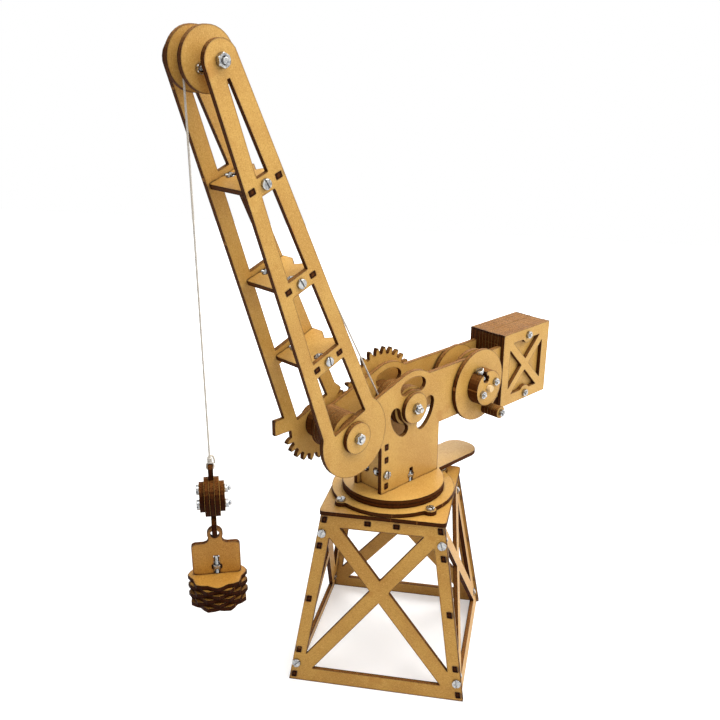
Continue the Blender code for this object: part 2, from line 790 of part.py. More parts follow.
def make_counterweight(cab):
    square = [(BLOCK_U[i], BLOCK_Z[j]) for i, j in ((0, 0), (1, 0), (1, 1), (0, 1))]
    holes = [bore(BLOCK_BOLT_U, z, SCREW_R) for z in BLOCK_BOLT_Z]
    block = [square] + holes
    sheet("counterweight_block", block, -CAB_INSIDE, CAB_INSIDE, upright, cab)
    outer = block + [block_gap(side) for side in ("left", "right", "low", "high")]
    outside = CAB_OUTSIDE + BOARD
    sheet("counterweight_frame_near", outer, CAB_OUTSIDE, outside, upright, cab)
    sheet("counterweight_frame_far", outer, -outside, -CAB_OUTSIDE, upright, cab)
    for name, z in zip(("bottom", "top"), BLOCK_BOLT_Z):
        where = (BLOCK_BOLT_U, z)
        bolt(
            f"counterweight_bolt_{name}", where, -outside, outside, upright, cab,
            radius=SCREW_R,
        )


# Luffing drive

def make_drive(drive):
    gear = [drive_gear_outline(), bore(0, 0, BOLT_R)]
    far_end = FAR_AT_PIVOT + BOARD
    sheet("drive_gear", gear, -far_end, -FAR_AT_PIVOT, upright, drive)
    far_spacer("drive_spacer_far", (0, 0), drive)
    washer = [disc(0, 0, DRIVE_WASHER_R, DISC_ROUND), bore(0, 0, BOLT_R)]
    inner = CAB_OUTSIDE + SLIDE_GAP
    sheet("drive_washer", washer, inner, inner + BOARD, upright, drive, smooth=True)
    bolt("drive_axle_bolt", (0, 0), -far_end, inner + BOARD, upright, drive)


def bored_spool(name, core, flange, core_half, half, hole, parent, sides=DISC_ROUND):
    """A grooved roller with a bore, turned in one piece."""
    wide = disc(0, 0, flange, sides)
    thin = disc(0, 0, core, sides)
    middle = disc(0, 0, (hole + BORE_GAP) / math.cos(math.pi / sides), sides)
    rings = [(-half, middle), (-half, wide), (-core_half, wide), (-core_half, thin)]
    rings += [(core_half, thin), (core_half, wide), (half, wide), (half, middle)]
    return lofted(name, rings, upright, parent, bored=True)


# Boom

def boom_half(s):
    return TIP_R + BOOM_TAPER * (BOOM_LONG - s)


def bay_half(s):
    return BAY_TIP_HALF + BAY_TAPER * (BAY_TOP_S - s)


def leg_meets(radius):
    """Where the straight edge of the boom meets a circle round its foot, as t and s."""
    slope = BOOM_TAPER
    root = boom_half(0)
    a = 1 + slope**2
    b = -2 * slope * root
    c = root**2 - radius**2
    s = (-b + math.sqrt(b * b - 4 * a * c)) / (2 * a)
    return boom_half(s), s


def boom_holes():
    ends = [BAY_FOOT_S]
    for s in RUNG_S:
        ends += [s - RUNG_HIGH / 2, s + RUNG_HIGH / 2]
    ends.append(BAY_TOP_S)
    loops = []
    for low, high in zip(ends[::2], ends[1::2]):
        bottom, top = bay_half(low), bay_half(high)
        loops.append([(-bottom, low), (bottom, low), (top, high), (-top, high)])
    for s in RUNG_S:
        for t in (-BRACE_TAB_T, BRACE_TAB_T):
            loops.append(rectangle(t, s, TAB + 2 * GAP, BOARD + 2 * GAP))
        loops.append(bore(0, s, SCREW_R))
    loops += [bore(0, 0, BOLT_R), bore(0, BOOM_LONG, BOLT_R)]
    return loops


def boom_tip():
    """The outline from the front of the tip over to its rear."""
    tilt = math.atan(BOOM_TAPER)
    return arc(0, BOOM_LONG, TIP_R, math.pi + tilt, -tilt, 12)


def near_boom_outline():
    t, s = leg_meets(FOOT_R)
    start = math.atan2(s, t)
    foot = arc(0, 0, FOOT_R, start, -math.pi - start, 26)
    return boom_tip() + foot


def far_boom_outline():
    """The near board's outline with a toothed sector and a stop in place of its round foot."""
    to_boom = math.pi / 2 - BOOM_ANGLE
    root, tip = boom_gear_radii()
    t, s = leg_meets(FOOT_R)
    start = math.atan2(s, t)
    step = math.tau / BOOM_TEETH
    first = MESH_ANGLE + to_boom + SECTOR_LAST * step + step / 2
    points = boom_tip() + arc(0, 0, FOOT_R, start, first, 3)
    for i in range(SECTOR_LAST, SECTOR_FIRST - 1, -1):
        points += tooth(BOOM_TEETH, root, tip, MESH_ANGLE + to_boom + i * step)[::-1]
    stop = [(-root, 0.0), (-STOP_REACH, 0.0), (-STOP_REACH, STOP_HIGH)]
    points += turned(stop, to_boom)
    c, q = math.cos(to_boom), -math.sin(to_boom)
    s_meet = (STOP_HIGH + q * boom_half(0)) / (c + q * BOOM_TAPER)
    points.append((-boom_half(s_meet), s_meet))
    return points


def far_inside(s):
    """How far the far board's inner face is from the middle plane, less towards the tip."""
    return FAR_AT_PIVOT - FAR_SPLAY * s


def far_board(a, b, c):
    """The far board's plane: upright, and leaning in towards the tip."""
    return upright(a, b, c - far_inside(b))


def brace_end(inside, outside):
    """The end of a brace at one side board, from front to rear: two tabs and a slot for its screw."""
    run = [(-BRACE_FRONT, inside)]
    for t, kind in ((-BRACE_TAB_T, "tab"), (0.0, "slot"), (BRACE_TAB_T, "tab")):
        if kind == "slot":
            run += t_slot(t, inside, (0.0, -1.0))
            continue
        run += [(t - TAB / 2, inside), (t - TAB / 2, outside)]
        run += [(t + TAB / 2, outside), (t + TAB / 2, inside)]
    return run


def brace_outline(s):
    """A brace across the boom, notched at the rear."""
    rear = boom_half(s)
    near, far = BOOM_INSIDE - GAP, far_inside(s) - GAP
    near_end = brace_end(near, BOOM_OUTSIDE) + [(rear, near), (rear, near / 2)]
    far_end = brace_end(far, far_inside(s) + BOARD) + [(rear, far), (rear, far / 2)]
    notch = [(rear - BRACE_NOTCH, (near - far) / 2)]
    return near_end + notch + [(a, -b) for a, b in reversed(far_end)]


def make_boom(boom):
    near = [near_boom_outline()] + boom_holes()
    far = [far_boom_outline()] + boom_holes()
    sheet("boom_side_near", near, BOOM_INSIDE, BOOM_OUTSIDE, upright, boom)
    sheet("boom_side_far", far, -BOARD, 0.0, far_board, boom)
    for name, s in zip(("low", "middle", "high"), RUNG_S):
        outline = brace_outline(s)
        low, high = s - BOARD / 2, s + BOARD / 2
        sheet(f"boom_brace_{name}", [outline], low, high, on_boom, boom)
    tip = (0, BOOM_LONG)
    far_end = far_inside(BOOM_LONG - TIP_R) + BOARD
    bolt("sheave_axle_bolt", tip, -far_end, BOOM_OUTSIDE, upright, boom)


def make_sheave(sheave):
    outer = (SHEAVE_MIDDLE - SHEAVE_HALF, SHEAVE_MIDDLE + SHEAVE_HALF)
    inner = (outer[0] + BOARD, outer[1] - BOARD)
    core = [disc(0, 0, SHEAVE_CORE_R, DISC_ROUND), bore(0, 0, BOLT_R)]
    sheet("sheave_core", core, *inner, upright, sheave, smooth=True)
    flange = [disc(0, 0, SHEAVE_R), bore(0, 0, BOLT_R)]
    sheet("sheave_flange_near", flange, inner[1], outer[1], upright, sheave, smooth=True)
    sheet("sheave_flange_far", flange, outer[0], inner[0], upright, sheave, smooth=True)


# Winch

def make_winch(winch):
    dowel = disc(0, 0, DOWEL_R, 16)
    far_end = -BOOM_OUTSIDE - BOARD / 2
    sheet("winch_dowel", [dowel], far_end, DOWEL_OUT, upright, winch, DOWEL_LOOK, True)
    hole = bore(0, 0, DOWEL_R, 16)
    core = [disc(0, 0, DRUM_CORE_R, DISC_ROUND), hole]
    sheet("drum_core", core, -DRUM_HALF, DRUM_HALF, upright, winch, smooth=True)
    flange = [disc(0, 0, DRUM_FLANGE_R), hole]
    outside = DRUM_HALF + BOARD
    sheet("drum_flange_near", flange, DRUM_HALF, outside, upright, winch, smooth=True)
    sheet("drum_flange_far", flange, -outside, -DRUM_HALF, upright, winch, smooth=True)
    retainer = [disc(0, 0, RETAINER_R, DISC_ROUND), hole]
    sheet("winch_retainer", retainer, -BOOM_OUTSIDE, -BOOM_INSIDE, upright, winch, smooth=True)
    knob_at = (KNOB_OUT * math.cos(KNOB_AT), KNOB_OUT * math.sin(KNOB_AT))
    wheel = [disc(0, 0, CRANK_R), hole, bore(*knob_at, SCREW_R)]
    sheet("crank_wheel", wheel, BOOM_INSIDE, BOOM_OUTSIDE, upright, winch, smooth=True)
    edge = (CRANK_HUB_R * math.cos(HUB_SLOT_AT), CRANK_HUB_R * math.sin(HUB_SLOT_AT))
    inward = (-math.cos(HUB_SLOT_AT), -math.sin(HUB_SLOT_AT))
    slot = t_slot(*edge, inward)
    half = math.asin(SLOT_WIDE / 2 / CRANK_HUB_R)
    rim = arc(0, 0, CRANK_HUB_R, HUB_SLOT_AT + half, HUB_SLOT_AT - half + math.tau, 28)
    hub = [rim + slot[1:-1][::-1], hole]
    sheet("crank_hub", hub, BOOM_OUTSIDE, HUB_OUT, upright, winch)
    bolt(
        "knob_bolt", knob_at, BOOM_INSIDE, KNOB_OUTSIDE + SLIDE_GAP, upright, winch,
        radius=SCREW_R, low_nut=False,
    )
    return knob_at


def make_knob(knob):
    loops = [disc(0, 0, KNOB_R, 20), bore(0, 0, SCREW_R)]
    sheet("crank_knob", loops, BOOM_OUTSIDE + GAP, KNOB_OUTSIDE, upright, knob, smooth=True)


# Rope

def run_angle():
    """The direction of the rope's straight run from the roller up to the sheave."""
    du, dz = SHEAVE_AT[0] - DRIVE[0], SHEAVE_AT[1] - DRIVE[1]
    return math.atan2(dz, du) - math.asin((ROPE_ON_ROLLER + ROPE_ON_SHEAVE) / math.hypot(du, dz))


def on_circle(centre, radius, angle):
    return centre[0] + radius * math.cos(angle), centre[1] + radius * math.sin(angle)


def lower_angle():
    """The direction of the rope from the drum forward to the roller, with both on its upper side."""
    du, dz = DRIVE[0] - WINCH[0], DRIVE[1] - WINCH[1]
    return math.atan2(dz, du) + math.asin((ROPE_ON_DRUM - ROPE_ON_ROLLER) / math.hypot(du, dz))


def drum_rope_points():
    """The turns on the drum, wound from the crank side to where the rope leaves it."""
    leave = lower_angle() + math.pi / 2
    steps = 24 * ROPE_TURNS
    points = []
    for i in range(steps + 1):
        turn = i / steps * ROPE_TURNS
        angle = leave + math.tau * turn
        w = turn * ROPE_PITCH
        a, b = on_circle((0, 0), ROPE_ON_DRUM, angle)
        points.append(upright(a, b, w))
    direction = lower_angle()
    lead = upright(2 * ROPE_R * math.cos(direction), 2 * ROPE_R * math.sin(direction), 0.0)
    return [points[0] + lead] + points


def print_turn_gap(points):
    least = min(
        (a - b).length
        for i, a in enumerate(points)
        for b in points[i + 12:]
    )
    print(f"rope_on_drum: least gap to itself {least - 2 * ROPE_R:.2f} mm")


def make_ropes(cab, boom, winch, run, fall):
    turns = drum_rope_points()
    print_turn_gap(turns)
    cord("rope_on_drum", turns, winch)
    forward = lower_angle()
    leave = on_circle(WINCH, ROPE_ON_DRUM, forward + math.pi / 2)
    start = 2 * ROPE_R + GAP
    leave = (leave[0] + start * math.cos(forward), leave[1] + start * math.sin(forward))
    up = run_angle()
    wrap = arc(*DRIVE, ROPE_ON_ROLLER, forward + math.pi / 2, up + math.pi / 2, 6)
    cord("rope_drum_to_roller", [upright(a, b, 0.0) for a, b in [leave] + wrap], cab, 2)
    low = on_circle(DRIVE, ROPE_ON_ROLLER, up + math.pi / 2)
    high = on_circle(SHEAVE_AT, ROPE_ON_SHEAVE, up - math.pi / 2)
    length = math.dist(low, high)
    stops = [GAP + (length - 2 * GAP) * i / 8 for i in range(9)]
    line = [on_circle(low, stop, up) for stop in stops]
    line = [(a - SHEAVE_AT[0], b - SHEAVE_AT[1]) for a, b in line]
    cord("rope_run", [upright(a, b, 0.0) for a, b in line], run, 2)
    over = arc(0, 0, ROPE_ON_SHEAVE, up - math.pi / 2, math.pi, 10)
    end = BALL_Z + EYE_AT + EYE_R + GAP - SHEAVE_AT[1]
    down = [(-ROPE_ON_SHEAVE, end * i / 8) for i in range(1, 9)]
    cord("rope_fall", [upright(a, b, 0.0) for a, b in over + down], fall, 2)


# Hook ball and load

def hook_outline():
    """The middle board of the ball: a rope eye above its disc and an open hook below."""
    neck = HOOK_NECK / 2
    eye_join = math.asin(neck / EYE_R)
    ball_join = math.asin(neck / BALL_R)
    outer = HOOK_INNER + HOOK_BAR
    drop = -HOOK_CENTRE
    ball_cut = math.acos((drop**2 + BALL_R**2 - outer**2) / (2 * drop * BALL_R))
    hook_cut = math.acos((drop**2 + outer**2 - BALL_R**2) / (2 * drop * outer))
    down = math.pi / 2
    points = arc(0, EYE_AT, EYE_R, eye_join - down, 3 * down - eye_join, 10)
    points += arc(0, 0, BALL_R, down + ball_join, 3 * down - ball_cut, 8)
    tip_turn = math.tau + HOOK_TIP
    points += arc(0, HOOK_CENTRE, outer, down + hook_cut, tip_turn, 12)[1:]
    tip = on_circle((0, HOOK_CENTRE), HOOK_INNER + HOOK_BAR / 2, HOOK_TIP)
    points += arc(*tip, HOOK_BAR / 2, HOOK_TIP, HOOK_TIP + math.pi, 4)[1:-1]
    points += arc(0, HOOK_CENTRE, HOOK_INNER, tip_turn, HOOK_MOUTH, 12)
    points += arc(0, 0, BALL_R, ball_cut - down, down - ball_join, 8)
    return points


def make_hook(hook):
    loops = [hook_outline(), bore(0, EYE_AT, EYE_HOLE_R - BORE_GAP)]
    sheet("hook_plate", loops, -BOARD / 2, BOARD / 2, facing_x, hook)
    for side, names in ((1, "right"), (-1, "left")):
        for layer, (kind, radius) in enumerate((("inner", BALL_R), ("outer", BALL_OUTER_R))):
            low = BOARD / 2 + layer * BOARD
            ends = sorted((side * low, side * (low + BOARD)))
            loops = [disc(0, 0, radius, DISC_ROUND)]
            name = f"ball_disc_{kind}_{names}"
            sheet(name, loops, *ends, facing_x, hook, smooth=True)


def load_plate_outline():
    """The hanging plate: its eye, a filleted neck and a square body slotted for a screw."""
    low = -LOAD_PLATE_DROP - LOAD_PLATE_HIGH
    high = -LOAD_PLATE_DROP
    side = LOAD_PLATE_HALF - LOAD_CORNER
    reach = math.sqrt((LOAD_EYE_R + LOAD_NECK_FILLET) ** 2 - (high + LOAD_NECK_FILLET) ** 2)
    fillet_turn = math.atan2(-(high + LOAD_NECK_FILLET), -reach)
    right = arc(0, 0, LOAD_EYE_R, math.pi / 2, math.atan2(high + LOAD_NECK_FILLET, reach), 6)
    right += arc(
        reach, high + LOAD_NECK_FILLET, LOAD_NECK_FILLET, fillet_turn, 3 * math.pi / 2, 3
    )[1:]
    right += arc(side, high - LOAD_CORNER, LOAD_CORNER, math.pi / 2, 0.0, 3)
    right += arc(side, low + LOAD_CORNER, LOAD_CORNER, 0.0, -math.pi / 2, 3)
    slot = t_slot(0.0, low, (0.0, 1.0), deep=LOAD_SLOT_DEEP)
    return right + slot + [(-a, b) for a, b in reversed(right[1:])]


def wavy(radius, wave, turn):
    count = LOAD_LOBES * WAVE_POINTS
    points = []
    for i in range(count):
        angle = math.tau * i / count
        r = radius + wave * math.cos(LOAD_LOBES * angle + turn)
        points.append((r * math.cos(angle), r * math.sin(angle)))
    return points


def make_load(load):
    loops = [load_plate_outline(), bore(0, 0, LOAD_EYE_HOLE - BORE_GAP)]
    sheet("load_plate", loops, -BOARD / 2, BOARD / 2, upright, load)
    top = -LOAD_PLATE_DROP - LOAD_PLATE_HIGH
    count = LOAD_LOBES * WAVE_POINTS
    hole = disc(0, 0, (SCREW_R + BORE_GAP) / math.cos(math.pi / SMALL_ROUND), count)
    seam = disc(0, 0, LOAD_SEAM_R, count)
    rings = [(top, hole)]
    for i in range(LOAD_DISCS):
        edge = wavy(LOAD_R - LOAD_WAVE, LOAD_WAVE, math.pi * (i % 2))
        high = top - i * BOARD
        low = high - BOARD + (LOAD_SEAM if i < LOAD_DISCS - 1 else 0.0)
        rings += [(high, edge), (low, edge)]
        if i < LOAD_DISCS - 1:
            rings += [(low, seam), (high - BOARD, seam)]
    bottom = top - LOAD_DISCS * BOARD
    rings.append((bottom, hole))
    lofted("load_stack", rings, level, load, bored=True)
    nut_low = top + SLOT_NUT_AT + GAP / 2
    nut_high = nut_low + SLOT_NUT_THICK - GAP
    shank = disc(0, 0, SCREW_R, SMALL_ROUND)
    nut = hexagon(0, 0, SLOT_NUT_WIDE - 2 * GAP, first=0)
    head = disc(0, 0, NUT_FLATS / 2, SMALL_ROUND)
    rings = [(bottom - NUT_HIGH, head), (bottom, head), (bottom, shank), (nut_low, shank)]
    rings += [(nut_low, nut), (nut_high, nut), (nut_high, shank)]
    rings.append((top + LOAD_SLOT_DEEP - GAP, shank))
    lofted("load_bolt", rings, level, load, STEEL_LOOK)


def stand_on_origin(root):
    """Moves the whole model so that the middle of its box stands over the origin."""
    bpy.context.view_layer.update()
    meshes = [obj for obj in bpy.context.scene.objects if obj.type == "MESH"]
    corners = [obj.matrix_world @ vert.co for obj in meshes for vert in obj.data.vertices]
    for i in range(2):
        values = [corner[i] for corner in corners]
        root.location[i] = -(min(values) + max(values)) / 2
    bpy.context.view_layer.update()


def main():
    clear_scene()
    root = body("tower", None, Matrix.Identity(4))
    cab = body("cab", root, shifted(0, 0, DECK_Z) @ Matrix.Rotation(SLEW_TURN, 4, "Z"))
    lean = Matrix.Rotation(math.pi / 2 - BOOM_ANGLE, 4, "Y")
    boom = body("boom", cab, shifted(PIVOT[0], 0, PIVOT[1]) @ lean)
    drive = body("drive", cab, shifted(DRIVE[0], 0, DRIVE[1]))
    roller = body("roller", cab, shifted(DRIVE[0], 0, DRIVE[1]))
    winch = body("winch", cab, shifted(WINCH[0], 0, WINCH[1]))
    sheave = body("sheave", boom, shifted(0, 0, BOOM_LONG))
    level_again = lean.inverted()
    run = body("run", boom, shifted(0, 0, BOOM_LONG) @ level_again)
    fall = body("fall", boom, shifted(0, 0, BOOM_LONG) @ level_again)
    hook_drop = BALL_Z - SHEAVE_AT[1]
    hook_turn = Matrix.Rotation(BALL_TURN, 4, "Z")
    hook = body("hook", fall, shifted(-ROPE_ON_SHEAVE, 0, hook_drop) @ hook_turn)
    load = body("load", hook, shifted(0, 0, LOAD_EYE_Z))
    make_tower(root)
    make_turntable(root, cab)
    make_cab(cab)
    make_counterweight(cab)
    make_drive(drive)
    bored_spool(
        "guide_roller", ROLLER_CORE_R, ROLLER_FLANGE_R, ROLLER_GROOVE_HALF,
        CAB_INSIDE - GAP, BOLT_R, roller,
    )
    make_boom(boom)
    make_sheave(sheave)
    knob_at = make_winch(winch)
    knob = body("knob", winch, shifted(knob_at[0], 0, knob_at[1]))
    make_knob(knob)
    make_ropes(cab, boom, winch, run, fall)
    make_hook(hook)
    make_load(load)
    stand_on_origin(root)


main()
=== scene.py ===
"""Looks of the board crane: burnt board, zinc hardware, twisted string, camera and light.

Run it in Blender 4.5 after the part is packed. Sizes are in millimetres and become metres
as each mesh is made. Every piece is built in place, with its object at the origin.
"""

import json
import math
import random

import bmesh
import bpy
from mathutils import Matrix, Vector


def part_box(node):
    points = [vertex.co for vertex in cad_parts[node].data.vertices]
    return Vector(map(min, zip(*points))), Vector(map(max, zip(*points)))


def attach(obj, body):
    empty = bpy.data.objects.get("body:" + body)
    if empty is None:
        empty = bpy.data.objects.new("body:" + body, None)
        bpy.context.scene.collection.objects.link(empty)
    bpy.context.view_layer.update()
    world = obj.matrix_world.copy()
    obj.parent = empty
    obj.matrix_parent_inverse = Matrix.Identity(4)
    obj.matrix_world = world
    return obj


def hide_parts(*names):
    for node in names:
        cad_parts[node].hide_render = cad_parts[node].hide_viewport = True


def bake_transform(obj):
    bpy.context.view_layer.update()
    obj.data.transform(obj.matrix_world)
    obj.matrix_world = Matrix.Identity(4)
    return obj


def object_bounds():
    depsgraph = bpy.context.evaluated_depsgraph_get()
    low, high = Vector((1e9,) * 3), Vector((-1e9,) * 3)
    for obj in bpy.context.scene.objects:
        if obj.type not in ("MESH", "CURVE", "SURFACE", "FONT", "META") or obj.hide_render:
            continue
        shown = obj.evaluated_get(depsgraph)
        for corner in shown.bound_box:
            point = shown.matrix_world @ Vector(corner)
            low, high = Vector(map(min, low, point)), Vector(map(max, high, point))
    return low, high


MM = 0.001
UP = Vector((0.0, 0.0, 1.0))

# Camera, measured from the middle of the tower's foot
CAMERA_AT = Vector((98.1, -589.2, 449.1))
AZIMUTH = math.radians(10.12)
ELEVATION = math.radians(23.15)
ROLL = math.radians(0.86)
FOCAL_PX = 915.8
IMAGE_PX = 720.0
CENTRE_PX = (384.83, 411.22)
SENSOR = 36.0

# Board and its small hardware, as in the part's source
BOARD = 3.0
GAP = 0.3
SCREW_R = 1.5
BOLT_R = 2.0
SCREW_FLATS = 5.5
SCREW_NUT = 2.4
HEAD_R = 3.1
HEAD_HIGH = 2.0
HEAD_SLOT = 1.0
BOLT_FLATS = 7.0
BOLT_NUT = 2.8
BOLT_END = 1.2
PITCH = 0.6
SLOT_NUT_AT = 3.6
SLOT_NUT_THICK = 2.8
SLOT_SHANK = 7.6

# Tower and turntable
BASE_HALF = 64.5
LEAN = 0.16
SLANT = BOARD * math.hypot(1.0, LEAN)
TAB_INSET = 3.3
SIDE_SCREW_Z = (13.7, 115.8)
SLEW_R = 2.5
EAR_AT = 45.0

# Cab, in u back, z up from the deck and w to the crank side
CAB_LAYERS = 7
CAB_INSIDE = 10.5
CAB_OUTSIDE = 13.5
BOOM_INSIDE = 14.0
BOOM_OUTSIDE = 17.0
PIVOT_OUTSIDE = 20.3
DRIVE_OUTSIDE = 16.7
BLOCK_OUTSIDE = 16.5
FRONT_PLATE_U = -21.5
FRONT_SCREW_Z = 13.9
CAB_SLOT_U = 4.2
BLOCK_BOLT_U = 132.5
BLOCK_BOLT_Z = (34.5, 83.0)
BLOCK_U = (102.0, 160.0)
BLOCK_Z = (29.5, 88.5)
SPACER_R = 14.5
RUNG_S = (62.9, 119.7, 183.1)
BOOM_LONG = 250.0
TIP_R = 10.5
FAR_AT_PIVOT = 20.1
FAR_AT_TIP = 16.5
PIVOT_FAR = 26.4
DRIVE_FAR = 23.1

# Sheave, winch and knob
SHEAVE_NEAR = 6.25
SHEAVE_FAR = 8.75
SHEAVE_BOLT = (-5.6, -4.0)
HUB_OUT = 26.0
HUB_R = 13.7
HUB_BOLT_R = 8.0
HUB_BOLT_AT = math.radians(25.0)
HUB_SLOT_AT = math.radians(113.0)
HUB_SCREW_OUT = 0.4
KNOB_R = 4.75
KNOB_FROM = 17.3
KNOB_LAYERS = 5
KNOB_OUTSIDE = 32.3

# Boards glued in stacks: eased rims, seams, and how far each board is from even
LAYER_RIM = 0.12
LAYER_GAP = 0.05
SPACER_UNEVEN = 0.15
KNOB_UNEVEN = 0.12
BLOCK_UNEVEN = 0.14

# Rope
ROPE_R = 0.6
ROPE_TURNS = 3
ROPE_PITCH = 1.65
ROPE_ON_DRUM = 10.4
ROPE_ON_ROLLER = 13.4
ROPE_ON_SHEAVE = 11.3
LAY = 2.6
STRANDS = 3
ROLLER_R = 12.5
ROLLER_FLANGE_R = 14.5
ROLLER_HALF = 10.2
ROLLER_GROOVE = 4.5
RUN_STEPS = 24
FALL_STEPS = 20
TURN_STEPS = 48
WRAP_STEPS = 16
OVER_STEPS = 40
TWINE_STEP = 0.3
TWINE_SIDES = 15

# Hook ball and load
EYE_AT = 17.5
EYE_R = 4.0
EYE_HOLE_R = 1.6
BALL_HALF = 7.5
BALL_BOLT_R = 4.5
BALL_BOLT_AT = math.radians(55.0)
LOAD_TOP = -28.0
LOAD_HIGH = 18.0
LOAD_SLOT = 12.8
KNOT_HIGH = 1.2
KNOT_TURNS = 3
KNOT_R = 1.05
KNOT_PITCH = 1.15
TAIL = 5.0

# Points round a circle
ROUND_SIDES = 48
KNOB_SIDES = 32
HEAD_SIDES = 36
HEX_SIDES = 36
SHANK_SIDES = 20

# Light and floor; each lamp's azimuth, elevation, distance, size, power and colour
WHITE = (1.0, 1.0, 1.0)
LAMPS = {
    "key": (88.0, 38.0, 0.9, 0.6, 4.2, (1.0, 0.985, 0.96)),
    "back": (165.0, 36.0, 1.0, 0.7, 10.0, WHITE),
    "fill": (30.0, 30.0, 0.9, 0.5, 0.6, (1.0, 0.99, 0.98)),
    "top": (40.0, 78.0, 0.9, 0.7, 7.5, WHITE),
}
AMBIENT = 0.45
SKY_DIMS = (0.50, 0.85)
FLOOR_COLOUR = (0.70, 0.695, 0.69)
FLOOR_SIDE = 3.0
FLOOR_FADE = (0.25, 0.75)
FLOOR_LIFT = (0.40, 0.97)

# Board colours: the face, then the burnt edges
FACE_LIGHT = (0.580, 0.333, 0.076)
FACE_DARK = (0.505, 0.272, 0.056)
FLECK = (0.330, 0.135, 0.020)
PALE_FLECK = (0.780, 0.500, 0.160)
SMOKE = (0.400, 0.160, 0.018)
CHAR = (0.014, 0.0030, 0.0006)
BURNT = (0.046, 0.0105, 0.002)
SINGED = (0.150, 0.048, 0.008)
# Painted highlight on burnt edges that face up, as if lit from above
TOP_EDGE_HIGHLIGHT = (0.360, 0.170, 0.045)
BRIDGE = (0.400, 0.180, 0.045)

# Parts painted darker, as a power of their colour, to stand in for the lesser light on them (painted
# shade), and parts whose seams are pale
SHADE_TONES = {"load": 1.32, "ball": 1.35, "hook": 1.35, "tower": 1.10}
PALE_SEAMS = ("ball", "load")

# Colours of the zinc, the cotton and the dowel
ZINC_DARK = (0.28, 0.29, 0.31)
ZINC_LIGHT = (0.50, 0.50, 0.48)
ZINC_SCRATCH = (0.30, 0.28, 0.25)
# Painted shade in the steel's corners
CORNER_SHADE = (0.05, 0.04, 0.035)
COTTON_DEEP = (0.34, 0.28, 0.22)
COTTON = (0.88, 0.86, 0.80)
COTTON_DIRT = (0.62, 0.52, 0.36)
WOOD_LIGHT = (0.78, 0.58, 0.31)
WOOD_DARK = (0.56, 0.34, 0.13)
PORES = (0.40, 0.22, 0.08)

# What a material's group gives
LOOK = [("Color", "NodeSocketColor"), ("Roughness", "NodeSocketFloat"), ("Normal", "NodeSocketVector")]


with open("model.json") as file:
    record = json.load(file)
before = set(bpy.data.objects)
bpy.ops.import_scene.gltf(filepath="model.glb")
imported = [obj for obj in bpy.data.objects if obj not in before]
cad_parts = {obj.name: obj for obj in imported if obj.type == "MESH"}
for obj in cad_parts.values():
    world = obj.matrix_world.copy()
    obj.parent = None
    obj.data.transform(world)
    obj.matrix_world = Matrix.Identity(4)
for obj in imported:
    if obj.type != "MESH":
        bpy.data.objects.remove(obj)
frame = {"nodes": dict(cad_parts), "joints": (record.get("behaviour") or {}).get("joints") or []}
CAD_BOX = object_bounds()
JOINTS = {joint["name"]: joint for joint in frame["joints"]}


def anchor(joint):
    return Vector(JOINTS[joint]["pos_m"]) / MM


def middle(node):
    low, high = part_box(node)
    return (low + high) / 2 / MM


# Places: each plane turns its own a, b, c into the shared frame

def plane(origin, a, b, c):
    matrix = Matrix.Identity(4)
    for column, axis in enumerate((a, b, c, origin)):
        for row in range(3):
            matrix[row][column] = axis[row]
    return matrix


def facing(where, out, turn=0.0):
    """A plane whose c axis points out from a place, turned about it."""
    out = out.normalized()
    side = UP if abs(out.dot(UP)) < 0.9 else Vector((0.0, 1.0, 0.0))
    a = side.cross(out).normalized()
    return plane(where, a, out.cross(a), out) @ Matrix.Rotation(turn, 4, "Z")


FOOT = middle("slew_pivot_bolt")
FOOT.z = 0.0
DECK_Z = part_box("turntable_top_disc")[1].z / MM
RING_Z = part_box("turntable_ring")[1].z / MM
PLATE_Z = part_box("tower_inner_plate")[0].z / MM
CRANK = Vector(JOINTS["winch_turn"]["axis"])
BACK = UP.cross(CRANK)
BOOM_UP = (anchor("sheave_spin") - anchor("luff")).normalized()
HOOK_OUT = UP.cross(Vector(JOINTS["load_swing"]["axis"]))
HOOK_AT = anchor("load_swing")
HOOK_AT.z = middle("ball_disc_outer_right").z
CAB = plane(FOOT + DECK_Z * UP, BACK, UP, CRANK)
BOOM = plane(anchor("luff"), BOOM_UP.cross(CRANK), BOOM_UP, CRANK)
WINCH = plane(anchor("winch_turn"), BACK, UP, CRANK)
SHEAVE = plane(anchor("sheave_spin"), BACK, UP, CRANK)
DRIVE = plane(anchor("drive_spin"), BACK, UP, CRANK)
KNOB = plane(anchor("knob_spin"), BACK, UP, CRANK)
HOOK = plane(HOOK_AT, UP.cross(HOOK_OUT), UP, HOOK_OUT)
LOAD = plane(anchor("load_swing"), CRANK, BACK, UP)


def on_cab(point):
    """A point's u and z."""
    point = CAB.inverted() @ point
    return point.x, point.y


def far_outside(s):
    """The outer face of the far boom board, which leans in towards the tip."""
    return FAR_AT_PIVOT - (FAR_AT_PIVOT - FAR_AT_TIP) * s / BOOM_LONG + BOARD


# Camera, light and floor

def make_camera():
    data = bpy.data.cameras.new("view")
    data.sensor_width = SENSOR
    data.lens = FOCAL_PX / IMAGE_PX * SENSOR
    data.shift_x = (IMAGE_PX / 2 - CENTRE_PX[0]) / IMAGE_PX
    data.shift_y = (CENTRE_PX[1] - IMAGE_PX / 2) / IMAGE_PX
    data.clip_start = 0.01
    data.clip_end = 50.0
    camera = bpy.data.objects.new("view", data)
    bpy.context.scene.collection.objects.link(camera)
    turned = Matrix.Rotation(AZIMUTH, 4, "Z") @ Matrix.Rotation(math.pi / 2 - ELEVATION, 4, "X")
    place = Matrix.Translation((FOOT + CAMERA_AT) * MM)
    camera.matrix_world = place @ turned @ Matrix.Rotation(ROLL, 4, "Z")
    bpy.context.scene.camera = camera


